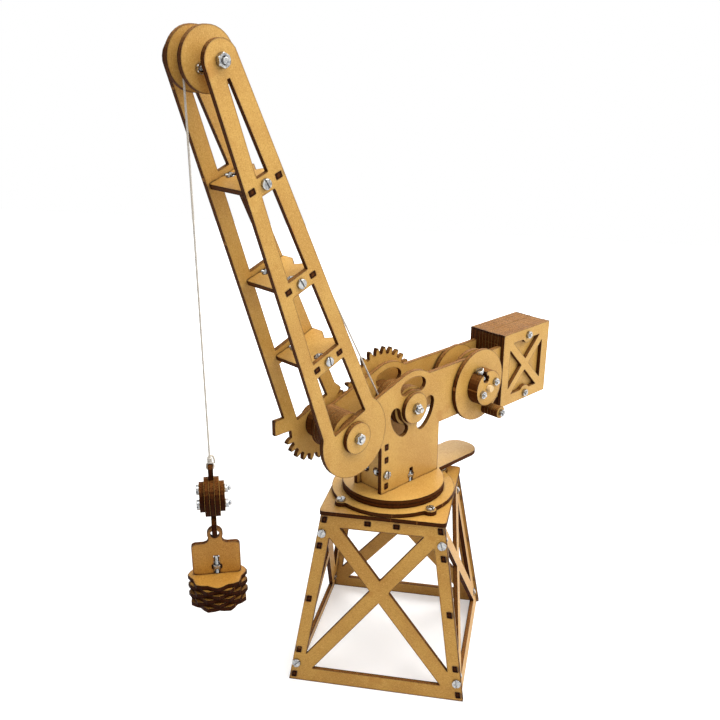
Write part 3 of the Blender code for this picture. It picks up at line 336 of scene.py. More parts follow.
def softbox(name, azimuth, elevation, distance, size, power, colour):
    """A square lamp that faces the middle of the crane."""
    data = bpy.data.lights.new(name, "AREA")
    data.size = size
    data.energy = power
    data.color = colour
    lamp = bpy.data.objects.new(name, data)
    bpy.context.scene.collection.objects.link(lamp)
    a, e = math.radians(azimuth), math.radians(elevation)
    out = Vector((math.sin(a) * math.cos(e), -math.cos(a) * math.cos(e), math.sin(e)))
    target = (CAD_BOX[0] + CAD_BOX[1]) / 2
    lamp.location = target + out * distance
    lamp.rotation_euler = out.to_track_quat("Z", "Y").to_euler()


def seen(graph):
    """1 for rays from the camera, and those mirrored or bent on the way."""
    path = graph.add("ShaderNodeLightPath")
    mirrored = graph.math("MAXIMUM", path.outputs["Is Camera Ray"], path.outputs["Is Glossy Ray"])
    return graph.math("MAXIMUM", mirrored, path.outputs["Is Transmission Ray"])


def make_world():
    """White behind the object and in its mirrored rays, dimmer overhead, and a plain light on it."""
    world = bpy.data.worlds.new("studio")
    bpy.context.scene.world = world
    world.use_nodes = True
    graph = Graph(world.node_tree)
    back = graph.find("Background")
    back.inputs["Color"].default_value = (*WHITE, 1.0)
    height = graph.add("ShaderNodeSeparateXYZ")
    graph.join(graph.add("ShaderNodeTexCoord").outputs["Generated"], height.inputs[0])
    near_horizon = graph.range(height.outputs["Z"], SKY_DIMS, (1.0, 0.0))
    straight = graph.add("ShaderNodeLightPath").outputs["Is Camera Ray"]
    white = graph.math("MAXIMUM", straight, graph.math("MULTIPLY", seen(graph), near_horizon))
    graph.join(graph.math("MULTIPLY_ADD", white, 1.0 - AMBIENT, AMBIENT), back.inputs["Strength"])


def make_floor():
    """A pale floor that keeps the shadow near the object and fades to white away from it."""
    mesh = bpy.data.meshes.new("floor")
    half = FLOOR_SIDE / 2
    corners = [(-half, -half, 0.0), (half, -half, 0.0), (half, half, 0.0), (-half, half, 0.0)]
    mesh.from_pydata(corners, [], [(0, 1, 2, 3)])
    floor = bpy.data.objects.new("floor", mesh)
    bpy.context.scene.collection.objects.link(floor)
    material = bpy.data.materials.new("floor")
    material.use_nodes = True
    mesh.materials.append(material)
    graph = Graph(material.node_tree)
    output = graph.find("Material Output")
    graph.tree.nodes.remove(graph.find("Principled BSDF"))
    matt = graph.add("ShaderNodeBsdfDiffuse")
    matt.inputs["Color"].default_value = (*FLOOR_COLOUR, 1.0)
    glow = graph.add("ShaderNodeEmission")
    glow.inputs["Color"].default_value = (*WHITE, 1.0)
    where = graph.add("ShaderNodeTexCoord").outputs["Object"]
    away = graph.vector("LENGTH", where)
    lift = graph.range(away, FLOOR_FADE, FLOOR_LIFT)
    graph.join(graph.math("MULTIPLY", lift, seen(graph)), glow.inputs["Strength"])
    both = graph.add("ShaderNodeAddShader")
    graph.join(matt.outputs[0], both.inputs[0])
    graph.join(glow.outputs[0], both.inputs[1])
    graph.join(both.outputs[0], output.inputs["Surface"])


# Material nodes

class Graph:
    """Short calls for the nodes of one tree."""

    def __init__(self, tree):
        self.tree = tree

    def find(self, name):
        return self.tree.nodes[name]

    def add(self, kind, **settings):
        node = self.tree.nodes.new(kind)
        for name, value in settings.items():
            setattr(node, name, value)
        return node

    def join(self, source, target):
        self.tree.links.new(source, target)

    def feed(self, value, target):
        if isinstance(value, bpy.types.NodeSocket):
            self.join(value, target)
        elif value is not None:
            target.default_value = value

    def math(self, operation, *values):
        node = self.add("ShaderNodeMath", operation=operation)
        for value, target in zip(values, node.inputs):
            self.feed(value, target)
        return node.outputs[0]

    def vector(self, operation, *values):
        node = self.add("ShaderNodeVectorMath", operation=operation)
        for value, target in zip(values, node.inputs):
            self.feed(value, target)
        scalar = operation in ("LENGTH", "DOT_PRODUCT")
        return node.outputs["Value" if scalar else "Vector"]

    def scaled(self, vector, factor):
        node = self.add("ShaderNodeVectorMath", operation="SCALE")
        self.feed(vector, node.inputs[0])
        self.feed(factor, node.inputs["Scale"])
        return node.outputs["Vector"]

    def noise(self, vector, scale, detail=3.0, rough=0.55):
        node = self.add("ShaderNodeTexNoise")
        for name, value in (("Scale", scale), ("Detail", detail), ("Roughness", rough)):
            node.inputs[name].default_value = value
        self.join(vector, node.inputs["Vector"])
        return node.outputs["Fac"]

    def range(self, value, old, new):
        """Eases a value from its old range to the new one, and holds it within that."""
        node = self.add("ShaderNodeMapRange", clamp=True, interpolation_type="SMOOTHSTEP")
        self.feed(value, node.inputs["Value"])
        for name, number in zip(("From Min", "From Max", "To Min", "To Max"), (*old, *new)):
            self.feed(number, node.inputs[name])
        return node.outputs["Result"]

    def mix(self, factor, first, second):
        """From the first colour at 0 to the second at 1."""
        node = self.add("ShaderNodeMix", data_type="RGBA")
        self.feed(factor, node.inputs["Factor"])
        for value, name in ((first, "A"), (second, "B")):
            target = next(s for s in node.inputs if s.name == name and s.type == "RGBA")
            self.feed((*value, 1.0) if isinstance(value, tuple) else value, target)
        return next(s for s in node.outputs if s.type == "RGBA")

    def blend(self, factor, first, second):
        """From the first number at 0 to the second at 1."""
        node = self.add("ShaderNodeMix", data_type="FLOAT")
        for value, name in ((factor, "Factor"), (first, "A"), (second, "B")):
            self.feed(value, next(s for s in node.inputs if s.name == name and s.type == "VALUE"))
        return next(s for s in node.outputs if s.type == "VALUE")

    def relief(self, height, strength, distance, made):
        bump = self.add("ShaderNodeBump")
        bump.inputs["Strength"].default_value = strength
        bump.inputs["Distance"].default_value = distance * MM
        self.join(height, bump.inputs["Height"])
        self.join(bump.outputs["Normal"], made.inputs["Normal"])


def new_group(name, inputs, outputs):
    tree = bpy.data.node_groups.new(name, "ShaderNodeTree")
    for socket, kind in inputs:
        tree.interface.new_socket(socket, in_out="INPUT", socket_type=kind)
    for socket, kind in outputs:
        tree.interface.new_socket(socket, in_out="OUTPUT", socket_type=kind)
    graph = Graph(tree)
    return graph, graph.add("NodeGroupInput"), graph.add("NodeGroupOutput")


def board_group():
    """Board with a fibrous face on two sides and laser-burnt edges, from the way that it faces.

    Way is the direction its face looks in and Low how far along it the board starts. Tone is a
    power of the colour, and Pale is 1 where the seams between boards are pale.
    """
    graph, given, made = new_group(
        "burnt_board",
        [("Way", "NodeSocketVector"), ("Low", "NodeSocketFloat"), ("Tone", "NodeSocketFloat"),
         ("Pale", "NodeSocketFloat")],
        LOOK + [("Specular", "NodeSocketFloat")],
    )
    where = graph.add("ShaderNodeTexCoord")
    spot = graph.scaled(where.outputs["Object"], 1 / MM)
    way = given.outputs["Way"]
    depth = graph.vector("DOT_PRODUCT", spot, way)
    flat = graph.vector("SUBTRACT", spot, graph.scaled(way, depth))
    turned = graph.math("ABSOLUTE", graph.vector("DOT_PRODUCT", where.outputs["Normal"], way))
    edge = graph.range(turned, (0.62, 0.78), (1.0, 0.0))

    # How near an edge of the board is, from inside it
    inner = graph.add("ShaderNodeAmbientOcclusion", inside=True, only_local=True, samples=8)
    inner.inputs["Distance"].default_value = 2.0 * MM
    open_space = inner.outputs["AO"]
    rim = graph.range(open_space, (0.54, 0.66), (0.80, 0.0))
    haze = graph.range(open_space, (0.58, 0.95), (1.0, 0.0))

    # The face: clouds, dark and pale fibres, smoke towards the rims and in blots
    clouds = graph.noise(spot, 0.030, 3.0)
    face = graph.mix(graph.range(clouds, (0.35, 0.65), (0.0, 1.0)), FACE_DARK, FACE_LIGHT)
    fibre_a = graph.noise(graph.vector("MULTIPLY", spot, (0.8, 2.6, 1.7)), 0.95, 6.0, 0.72)
    fibre_b = graph.noise(graph.vector("MULTIPLY", spot, (2.4, 0.9, 1.1)), 1.15, 6.0, 0.72)
    flecks = graph.math("MAXIMUM", fibre_a, fibre_b)
    face = graph.mix(graph.range(flecks, (0.53, 0.68), (0.0, 0.80)), face, FLECK)
    lights = graph.math("MINIMUM", fibre_a, fibre_b)
    face = graph.mix(graph.range(lights, (0.32, 0.46), (0.70, 0.0)), face, PALE_FLECK)
    stain = graph.range(graph.noise(spot, 0.11, 2.0), (0.50, 0.72), (0.04, 0.62))
    face = graph.mix(graph.math("MULTIPLY", haze, stain), face, SMOKE)
    blot = graph.range(graph.noise(spot, 0.055, 3.0, 0.6), (0.62, 0.74), (0.0, 0.38))
    face = graph.mix(blot, face, SMOKE)
    face = graph.mix(rim, face, BURNT)

    # The edge: char in streaks, a painted highlight where it faces up, bridges left uncut, and seams
    streaks = graph.noise(flat, 1.5, 4.0, 0.6)
    grains = graph.noise(spot, 1.3, 4.0, 0.6)
    burn = graph.mix(graph.range(streaks, (0.38, 0.66), (0.0, 1.0)), CHAR, BURNT)
    burn = graph.mix(graph.range(grains, (0.50, 0.72), (0.0, 0.55)), burn, SINGED)
    # Painted highlight: edges that face up are made lighter, broken up by grains, as if lit from above
    lift = graph.vector("DOT_PRODUCT", where.outputs["Normal"], tuple(UP))
    highlight_grains = graph.range(grains, (0.36, 0.60), (0.25, 0.80))
    top_highlight = graph.math("MULTIPLY", graph.range(lift, (0.25, 0.95), (0.0, 1.0)), highlight_grains)
    burn = graph.mix(top_highlight, burn, TOP_EDGE_HIGHLIGHT)
    bridges = graph.range(graph.noise(flat, 0.21, 0.0), (0.775, 0.785), (0.0, 0.60))
    burn = graph.mix(bridges, burn, BRIDGE)
    burn = graph.mix(graph.range(open_space, (0.60, 0.80), (0.0, 0.35)), burn, SINGED)
    burn = graph.mix(graph.range(open_space, (0.50, 0.62), (0.9, 0.0)), burn, CHAR)
    above = graph.math("SUBTRACT", depth, given.outputs["Low"])
    level = graph.math("FRACT", graph.math("DIVIDE", above, BOARD))
    from_seam = graph.math("ABSOLUTE", graph.math("SUBTRACT", level, 0.5))
    seam = graph.mix(given.outputs["Pale"], CHAR, PALE_FLECK)
    burn = graph.mix(graph.range(from_seam, (0.455, 0.49), (0.0, 0.8)), burn, seam)

    # Painted shade where boards meet and in crevices, then the tone, which paints shade on some parts,
    # the sheen and the relief
    crevice = graph.add("ShaderNodeAmbientOcclusion", samples=8)
    crevice.inputs["Distance"].default_value = 3.5 * MM
    crevice_shade = graph.range(crevice.outputs["AO"], (0.25, 0.75), (0.80, 0.0))
    colour = graph.mix(crevice_shade, graph.mix(edge, face, burn), BURNT)
    toned = graph.add("ShaderNodeGamma")
    graph.join(given.outputs["Tone"], toned.inputs["Gamma"])
    graph.join(colour, toned.inputs["Color"])
    graph.join(toned.outputs["Color"], made.inputs["Color"])
    face_rough = graph.range(flecks, (0.4, 0.7), (0.44, 0.58))
    edge_rough = graph.range(streaks, (0.3, 0.7), (0.55, 0.75))
    graph.join(graph.blend(edge, face_rough, edge_rough), made.inputs["Roughness"])
    graph.join(graph.blend(edge, 0.36, 0.05), made.inputs["Specular"])
    burnt_relief = graph.math("ADD", streaks, graph.math("MULTIPLY", grains, 0.5))
    relief = graph.blend(edge, graph.math("MULTIPLY", flecks, 0.35), burnt_relief)
    graph.relief(relief, 0.55, 0.16, made)
    return graph.tree


def steel_group():
    """Zinc-plated steel: mottled and scratched, with painted shade in its corners."""
    graph, _, made = new_group("zinc_plate", [], LOOK)
    spot = graph.scaled(graph.add("ShaderNodeTexCoord").outputs["Object"], 1 / MM)
    clouds = graph.noise(spot, 0.7, 3.0)
    scratch = graph.noise(graph.vector("MULTIPLY", spot, (0.6, 6.0, 6.0)), 1.4, 4.0)
    plate = graph.mix(graph.range(clouds, (0.35, 0.65), (0.0, 1.0)), ZINC_DARK, ZINC_LIGHT)
    plate = graph.mix(graph.range(scratch, (0.58, 0.70), (0.0, 0.30)), plate, ZINC_SCRATCH)
    # Painted shade in the corners and thread grooves, where other surfaces are near
    corner = graph.add("ShaderNodeAmbientOcclusion", samples=8)
    corner.inputs["Distance"].default_value = 0.9 * MM
    plate = graph.mix(graph.range(corner.outputs["AO"], (0.35, 0.85), (0.85, 0.0)), plate, CORNER_SHADE)
    graph.join(plate, made.inputs["Color"])
    graph.join(graph.range(clouds, (0.3, 0.7), (0.20, 0.32)), made.inputs["Roughness"])
    graph.relief(scratch, 0.15, 0.03, made)
    return graph.tree


def string_group():
    """Undyed cotton: cream, with fine fibres along the strands."""
    graph, _, made = new_group("cotton", [], LOOK)
    spot = graph.scaled(graph.add("ShaderNodeTexCoord").outputs["Object"], 1 / MM)
    fibres = graph.noise(graph.vector("MULTIPLY", spot, (3.0, 3.0, 1.2)), 2.2, 5.0, 0.7)
    dirt = graph.noise(spot, 0.12, 2.0)
    cotton = graph.mix(graph.range(fibres, (0.35, 0.68), (0.0, 1.0)), COTTON_DEEP, COTTON)
    cotton = graph.mix(graph.range(dirt, (0.45, 0.7), (0.0, 0.25)), cotton, COTTON_DIRT)
    graph.join(cotton, made.inputs["Color"])
    graph.join(graph.range(fibres, (0.3, 0.7), (0.82, 0.95)), made.inputs["Roughness"])
    graph.relief(fibres, 0.6, 0.08, made)
    return graph.tree


def dowel_group():
    """A softwood dowel: straight grain along it, rings and pores on its end."""
    graph, _, made = new_group("dowel_wood", [], LOOK)
    where = graph.scaled(graph.add("ShaderNodeTexCoord").outputs["Object"], 1 / MM)
    spot = graph.vector("SUBTRACT", where, tuple(anchor("winch_turn")))
    depth = graph.vector("DOT_PRODUCT", spot, tuple(CRANK))
    across = graph.vector("SUBTRACT", spot, graph.scaled(tuple(CRANK), depth))
    from_pith = graph.vector("LENGTH", graph.vector("ADD", across, (4.0, 3.0, 5.0)))
    rings = graph.math("SINE", graph.math("MULTIPLY", from_pith, 9.0))
    pulled = graph.vector("ADD", across, graph.scaled(tuple(CRANK), graph.math("MULTIPLY", depth, 0.08)))
    grain = graph.noise(pulled, 3.2, 4.0, 0.6)
    wood = graph.mix(graph.range(rings, (-0.6, 0.9), (0.0, 0.55)), WOOD_LIGHT, WOOD_DARK)
    wood = graph.mix(graph.range(grain, (0.55, 0.75), (0.0, 0.5)), wood, PORES)
    graph.join(wood, made.inputs["Color"])
    graph.join(graph.range(grain, (0.3, 0.7), (0.5, 0.68)), made.inputs["Roughness"])
    graph.relief(grain, 0.4, 0.06, made)
    return graph.tree


def material(name, group, metallic=0.0, specular=0.5, **given):
    """A Principled material whose colour, roughness and relief come from a group."""
    made = bpy.data.materials.new(name)
    made.use_nodes = True
    graph = Graph(made.node_tree)
    shader = graph.find("Principled BSDF")
    shader.inputs["Metallic"].default_value = metallic
    shader.inputs["Specular IOR Level"].default_value = specular
    node = graph.add("ShaderNodeGroup", node_tree=group)
    for socket, value in given.items():
        node.inputs[socket].default_value = value
    graph.join(node.outputs["Color"], shader.inputs["Base Color"])
    graph.join(node.outputs["Roughness"], shader.inputs["Roughness"])
    graph.join(node.outputs["Normal"], shader.inputs["Normal"])
    if "Specular" in node.outputs:
        graph.join(node.outputs["Specular"], shader.inputs["Specular IOR Level"])
    return made


BURNT_BOARD = board_group()
STEEL = material("zinc_steel", steel_group(), metallic=1.0)
STRING = material("cotton_string", string_group(), specular=0.2)
DOWEL = material("dowel", dowel_group(), specular=0.4)


def board_material(name, way, low, tone=1.0, pale=0.0):
    return material(name, BURNT_BOARD, Way=way, Low=low, Tone=tone, Pale=pale)


def flat_way(obj):
    """The direction that most of a board's surface faces, and how far along it the board starts."""
    shares = {}
    for face in obj.data.polygons:
        normal = face.normal
        lead = max(normal, key=abs)
        key = tuple(round(value / math.copysign(1.0, lead), 2) for value in normal)
        area, total = shares.get(key, (0.0, Vector()))
        shares[key] = (area + face.area, total + normal * math.copysign(face.area, lead))
    _, total = max(shares.values(), key=lambda share: share[0])
    way = total.normalized()
    return way, min(vert.co.dot(way) for vert in obj.data.vertices) / MM


def dress_nodes():
    """Gives every CAD node its burnt board, steel, wood or string."""
    draw = random.Random(7)
    for name in sorted(frame["nodes"]):
        obj = frame["nodes"][name]
        if "bolt" in name:
            made = STEEL
        elif name.startswith("rope"):
            made = STRING
        elif "dowel" in name:
            made = DOWEL
        else:
            way, low = flat_way(obj)
            kind = name.split("_")[0]
            # Painted shade for the parts that take less light, times a random spread of the board's own
            # tone
            tone = SHADE_TONES.get(kind, 1.0) * draw.uniform(0.95, 1.05)
            made = board_material(f"board_{name}", way, low, tone, float(kind in PALE_SEAMS))
        obj.data.materials.clear()
        obj.data.materials.append(made)


# Meshes

def circle(radius, sides, x=0.0, y=0.0):
    return [
        (x + radius * math.cos(math.tau * i / sides), y + radius * math.sin(math.tau * i / sides))
        for i in range(sides)
    ]


def stack_rings(mesh, at, rings, bored=False):
    """Rings of equally many points joined in turn and capped, or closed round a bore."""
    made = []
    for level, ring in rings:
        made.append([mesh.verts.new((at @ Vector((x, y, level))) * MM) for x, y in ring])
    pairs = list(zip(made, made[1:]))
    if bored:
        pairs.append((made[-1], made[0]))
    for lower, upper in pairs:
        for i in range(len(lower)):
            j = (i + 1) % len(lower)
            mesh.faces.new((lower[i], lower[j], upper[j], upper[i]))
    if not bored:
        mesh.faces.new(made[0][::-1])
        mesh.faces.new(made[-1])


def piece(name, mesh, look, body, replaces=(), smooth_under=20.0):
    """Makes an object of a mesh built in place, and rides it on its body."""
    bmesh.ops.recalc_face_normals(mesh, faces=mesh.faces)
    data = bpy.data.meshes.new(name)
    mesh.to_mesh(data)
    mesh.free()
    data.shade_smooth()
    data.set_sharp_from_angle(angle=math.radians(smooth_under))
    obj = bpy.data.objects.new(name, data)
    bpy.context.scene.collection.objects.link(obj)
    data.materials.append(look)
    if body:
        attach(obj, body)
    if replaces:
        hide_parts(*replaces)
    return obj


def hex_ring(flats, cut):
    """A hexagon's outline held within a circle, as a nut's chamfer does."""
    points = []
    for i in range(HEX_SIDES):
        angle = math.tau * i / HEX_SIDES
        from_flat = (angle + math.pi / 6) % (math.pi / 3) - math.pi / 6
        radius = min(flats / 2 / math.cos(from_flat), cut)
        points.append((radius * math.cos(angle), radius * math.sin(angle)))
    return points


def add_nut(mesh, at, flats, high, hole):
    """A hexagon nut that stands on its place, chamfered outside and at its hole."""
    corner = flats / 2 / math.cos(math.pi / 6)
    inner = circle(hole, HEX_SIDES)
    countersink = circle(hole * 1.18, HEX_SIDES)
    low_ring = hex_ring(flats, flats / 2 * 1.02)
    chamfer = high * 0.14
    rings = [
        (0.0, low_ring), (chamfer, hex_ring(flats, corner)),
        (high - chamfer, hex_ring(flats, corner)), (high, low_ring),
        (high, countersink), (high - chamfer, inner), (chamfer, inner), (0.0, countersink),
    ]
    stack_rings(mesh, at, rings, bored=True)


def add_shank(mesh, at, low, high, radius, threaded=True):
    """A rod with a chamfered end at the top, threaded all along or plain."""
    root = radius - 0.32 * PITCH
    crest_ring, root_ring = circle(radius, SHANK_SIDES), circle(root, SHANK_SIDES)
    if threaded:
        rings = [(low, root_ring)]
        for i in range(max(1, int((high - low) / PITCH) - 1)):
            level = low + (i + 0.25) * PITCH
            rings += [(level, crest_ring), (level + 0.5 * PITCH, root_ring)]
    else:
        rings = [(low, crest_ring), (high - PITCH, crest_ring)]
    rings += [(high - 0.25 * PITCH, root_ring), (high, circle(root * 0.8, SHANK_SIDES))]
    stack_rings(mesh, at, rings)


def add_head(mesh, at, radius=HEAD_R, high=HEAD_HIGH):
    """A slotted cheese head: a disc with two rounded half discs on it."""
    floor = high * 0.42
    rim = circle(radius, HEAD_SIDES)
    stack_rings(mesh, at, [(0.0, circle(radius * 0.97, HEAD_SIDES)), (0.15, rim), (floor, rim)])
    half = HEAD_SLOT / 2

    def half_disc(r, side):
        start = math.asin(half / r)
        points = []
        for i in range(17):
            angle = start + (math.pi - 2 * start) * i / 16
            points.append((r * math.cos(angle), side * r * math.sin(angle)))
        return points[::side]

    for side in (1, -1):
        stack_rings(mesh, at, [
            (floor - 0.05, half_disc(radius, side)), (high * 0.78, half_disc(radius, side)),
            (high * 0.92, half_disc(radius * 0.95, side)), (high, half_disc(radius * 0.84, side)),
        ])


def shifted(at, a=0.0, b=0.0, c=0.0):
    return at @ Matrix.Translation((a, b, c))


def flipped(at):
    """The same place, facing the other way."""
    return at @ Matrix.Rotation(math.pi, 4, "X")


def add_end(mesh, at, radius=BOLT_R, reach=BOLT_END):
    """A nut on a face and the end of the bolt that comes through it."""
    scale = radius / BOLT_R
    add_nut(mesh, at, BOLT_FLATS * scale, BOLT_NUT * scale, radius * 0.98)
    add_shank(mesh, at, 0.0, BOLT_NUT * scale + reach, radius)


def through_bolt(name, at, low, high, body, radius=BOLT_R, reach=BOLT_END, replaces=()):
    """A bolt with a nut and a threaded end beyond each outer face."""
    draw = random.Random(name)
    mesh = bmesh.new()
    for level, base in ((high, at), (-low, flipped(at))):
        turn = Matrix.Rotation(draw.uniform(0.0, math.pi / 3), 4, "Z")
        add_end(mesh, shifted(base, c=level) @ turn, radius, reach)
    add_shank(mesh, at, low, high, radius, threaded=False)
    return piece(name, mesh, STEEL, body, replaces)


def add_slot_screw(mesh, at, clamped, turn, head=True):
    """A screw into a board's T-slot, with its nut; its place is on the outer face, facing out."""
    if head:
        add_head(mesh, at @ Matrix.Rotation(turn, 4, "Z"))
    inward = flipped(at)
    add_shank(mesh, inward, 0.0, clamped + SLOT_SHANK, SCREW_R)
    nut_low = clamped + SLOT_NUT_AT + (SLOT_NUT_THICK - SCREW_NUT) / 2
    add_nut(mesh, shifted(inward, c=nut_low), SCREW_FLATS, SCREW_NUT, SCREW_R * 0.98)


# Hardware of each body

def tower_screws():
    draw = random.Random(3)
    for name, side in (("front", -1), ("back", 1)):
        mesh = bmesh.new()
        for z in SIDE_SCREW_Z:
            half = BASE_HALF - LEAN * z
            for edge in (-1, 1):
                where = FOOT + Vector((edge * (half - TAB_INSET), side * half, z))
                tilted = facing(where, Vector((0.0, side, LEAN)), draw.uniform(0.0, math.pi))
                add_head(mesh, tilted)
                at = facing(where, Vector((0.0, side, 0.0)), math.pi / 6)
                add_slot_screw(mesh, at, SLANT + GAP, 0.0, head=False)
        piece(f"tower_{name}_screws", mesh, STEEL, "tower")


def ring_screws():
    draw = random.Random(5)
    mesh = bmesh.new()
    reach = EAR_AT / math.sqrt(2)
    for x in (-reach, reach):
        for y in (-reach, reach):
            where = FOOT + Vector((x, y, RING_Z))
            add_head(mesh, facing(where, UP, draw.uniform(0.0, math.pi)))
            below = where.copy()
            below.z = PLATE_Z
            add_end(mesh, facing(below, -UP, draw.uniform(0.0, 1.0)), SCREW_R)
    piece("turntable_ring_screws", mesh, STEEL, "tower")


def cab_screws():
    draw = random.Random(11)
    mesh = bmesh.new()
    for side in (1, -1):
        base = CAB if side > 0 else CAB @ Matrix.Rotation(math.pi, 4, "Y")
        front = shifted(base, side * FRONT_PLATE_U, FRONT_SCREW_Z, CAB_OUTSIDE)
        add_slot_screw(mesh, front, CAB_OUTSIDE - CAB_INSIDE + GAP, draw.uniform(1.2, 1.9))
        deck = CAB @ Vector((CAB_SLOT_U, 0.0, side * (CAB_INSIDE + BOARD / 2)))
        low = facing(deck, -UP, draw.uniform(0.0, 0.3))
        add_slot_screw(mesh, low, 0.0, 0.0, head=False)
    piece("cab_screws", mesh, STEEL, "cab")


def rung_screws():
    draw = random.Random(13)
    for name, side in (("near", 1), ("far", -1)):
        mesh = bmesh.new()
        base = BOOM if side > 0 else BOOM @ Matrix.Rotation(math.pi, 4, "Y")
        for s in RUNG_S:
            at = shifted(base, 0.0, s, BOOM_OUTSIDE if side > 0 else far_outside(s))
            add_slot_screw(mesh, at, BOARD + GAP, draw.uniform(1.2, 2.0))
        piece(f"boom_rung_screws_{name}", mesh, STEEL, "boom")


def winch_hardware():
    mesh = bmesh.new()
    for turn in (HUB_BOLT_AT, HUB_BOLT_AT + math.pi):
        x, y = HUB_BOLT_R * math.cos(turn), HUB_BOLT_R * math.sin(turn)
        add_end(mesh, shifted(WINCH, x, y, HUB_OUT), SCREW_R, 1.6)
    out = CRANK.cross(BACK) * math.sin(HUB_SLOT_AT) + BACK * math.cos(HUB_SLOT_AT)
    rim = WINCH @ Vector((*on_circle((0.0, 0.0), HUB_R, HUB_SLOT_AT), (BOOM_OUTSIDE + HUB_OUT) / 2))
    add_slot_screw(mesh, facing(rim + out * HUB_SCREW_OUT, out), HUB_SCREW_OUT, 0.6)
    piece("crank_hub_screws", mesh, STEEL, "winch")


def sheave_hardware():
    mesh = bmesh.new()
    for sign in (1, -1):
        x, y = sign * SHEAVE_BOLT[0], sign * SHEAVE_BOLT[1]
        add_end(mesh, shifted(SHEAVE, x, y, SHEAVE_NEAR), SCREW_R, 1.4)
        add_end(mesh, shifted(flipped(SHEAVE), x, -y, SHEAVE_FAR), SCREW_R, 0.8)
    piece("sheave_screws", mesh, STEEL, "sheave")


def ball_hardware():
    mesh = bmesh.new()
    for sign in (1, -1):
        a, b = sign * BALL_BOLT_R * math.cos(BALL_BOLT_AT), sign * BALL_BOLT_R * math.sin(BALL_BOLT_AT)
        add_end(mesh, shifted(HOOK, a, b, BALL_HALF), SCREW_R, 1.6)
        add_head(mesh, shifted(flipped(HOOK), a, -b, BALL_HALF))
    piece("ball_screws", mesh, STEEL, "hook")


def knob_hardware():
    mesh = bmesh.new()
    add_end(mesh, shifted(KNOB, c=KNOB_OUTSIDE + 0.2), SCREW_R)
    add_shank(mesh, KNOB, BOOM_INSIDE, KNOB_OUTSIDE, SCREW_R, threaded=False)
    piece("knob_screw", mesh, STEEL, "winch", ["knob_bolt"])


def load_hardware():
    mesh = bmesh.new()
    bottom = LOAD_TOP - LOAD_HIGH
    add_head(mesh, flipped(shifted(LOAD, c=bottom)), high=BOLT_NUT)
    add_shank(mesh, LOAD, bottom, LOAD_TOP + LOAD_SLOT - GAP, SCREW_R)
    at = facing(anchor("load_swing") + UP * (LOAD_TOP + SLOT_NUT_AT + 0.2), UP)
    add_nut(mesh, at, SCREW_FLATS, SCREW_NUT, SCREW_R * 0.98)
    piece("load_screw", mesh, STEEL, "load", ["load_bolt"])


def slew_hardware():
    mesh = bmesh.new()
    at = plane(FOOT, BACK, UP.cross(BACK), UP)
    scale = SLEW_R / BOLT_R
    add_end(mesh, shifted(at, c=DECK_Z + 0.2), SLEW_R)
    add_shank(mesh, at, PLATE_Z, DECK_Z, SLEW_R, threaded=False)
    add_head(mesh, flipped(shifted(at, c=PLATE_Z)), BOLT_FLATS / 2 * scale, BOLT_NUT * scale)
    piece("slew_screw", mesh, STEEL, "tower", ["slew_pivot_bolt"])


# Boards glued in stacks

def add_layer(mesh, at, outline, hole, low, high):
    """One board of a stack, its rims eased, round a hole of as many points."""
    def eased(points):
        x, y = (sum(values) / len(points) for values in zip(*points))
        return [
            (px - LAYER_RIM * (px - x) / math.hypot(px - x, py - y),
             py - LAYER_RIM * (py - y) / math.hypot(px - x, py - y))
            for px, py in points
        ]

    rim = eased(outline)
    low, high = low + LAYER_GAP / 2, high - LAYER_GAP / 2
    rings = [(low, rim), (low + LAYER_RIM, outline), (high - LAYER_RIM, outline), (high, rim)]
    stack_rings(mesh, at, rings + [(high, hole), (low, hole)], bored=True)


def stack(name, at, outlines, low, body, replaces, hole=BOLT_R):
    """A pile of boards, one outline each, on one bore across the crane."""
    mesh = bmesh.new()
    for i, outline in enumerate(outlines):
        bore = circle(hole, len(outline))
        add_layer(mesh, at, outline, bore, low + i * BOARD, low + (i + 1) * BOARD)
    start = (at @ Vector((0.0, 0.0, low))).dot(CRANK)
    look = board_material(f"board_{name}", CRANK, start)
    piece(name, mesh, look, body, replaces, 30.0)


def nudged(draw, amount):
    return draw.uniform(-amount, amount), draw.uniform(-amount, amount)


def spacer_and_knob():
    draw = random.Random(17)
    spacer = [
        circle(SPACER_R - abs(nudged(draw, SPACER_UNEVEN)[0]), ROUND_SIDES) for _ in range(CAB_LAYERS)
    ]
    at = shifted(CAB, *on_cab(anchor("luff")))
    stack("pivot_spacer_layers", at, spacer, -CAB_INSIDE, "cab", ["boom_pivot_spacer"])
    knob = [circle(KNOB_R - abs(nudged(draw, KNOB_UNEVEN)[0]), KNOB_SIDES) for _ in range(KNOB_LAYERS)]
    stack("knob_layers", KNOB, knob, KNOB_FROM, "knob", ["crank_knob"], SCREW_R + 0.1)


def roller_layers():
    """The guide roller: three boards in its groove and two in each flange, the outer one thinner."""
    radii = [ROLLER_FLANGE_R] * 2 + [ROLLER_R] * 3 + [ROLLER_FLANGE_R] * 2
    mesh = bmesh.new()
    levels = [-ROLLER_HALF, -ROLLER_GROOVE - BOARD, -ROLLER_GROOVE, -BOARD / 2]
    levels += [-level for level in levels[::-1]]
    for radius, low, high in zip(radii, levels, levels[1:]):
        add_layer(mesh, DRIVE, circle(radius, ROUND_SIDES), circle(BOLT_R, ROUND_SIDES), low, high)
    look = board_material("board_guide_roller_layers", CRANK, levels[2])
    piece("guide_roller_layers", mesh, look, "roller", ["guide_roller"], 30.0)


def square_loop(u, z):
    return [(u[0], z[0]), (u[1], z[0]), (u[1], z[1]), (u[0], z[1])]


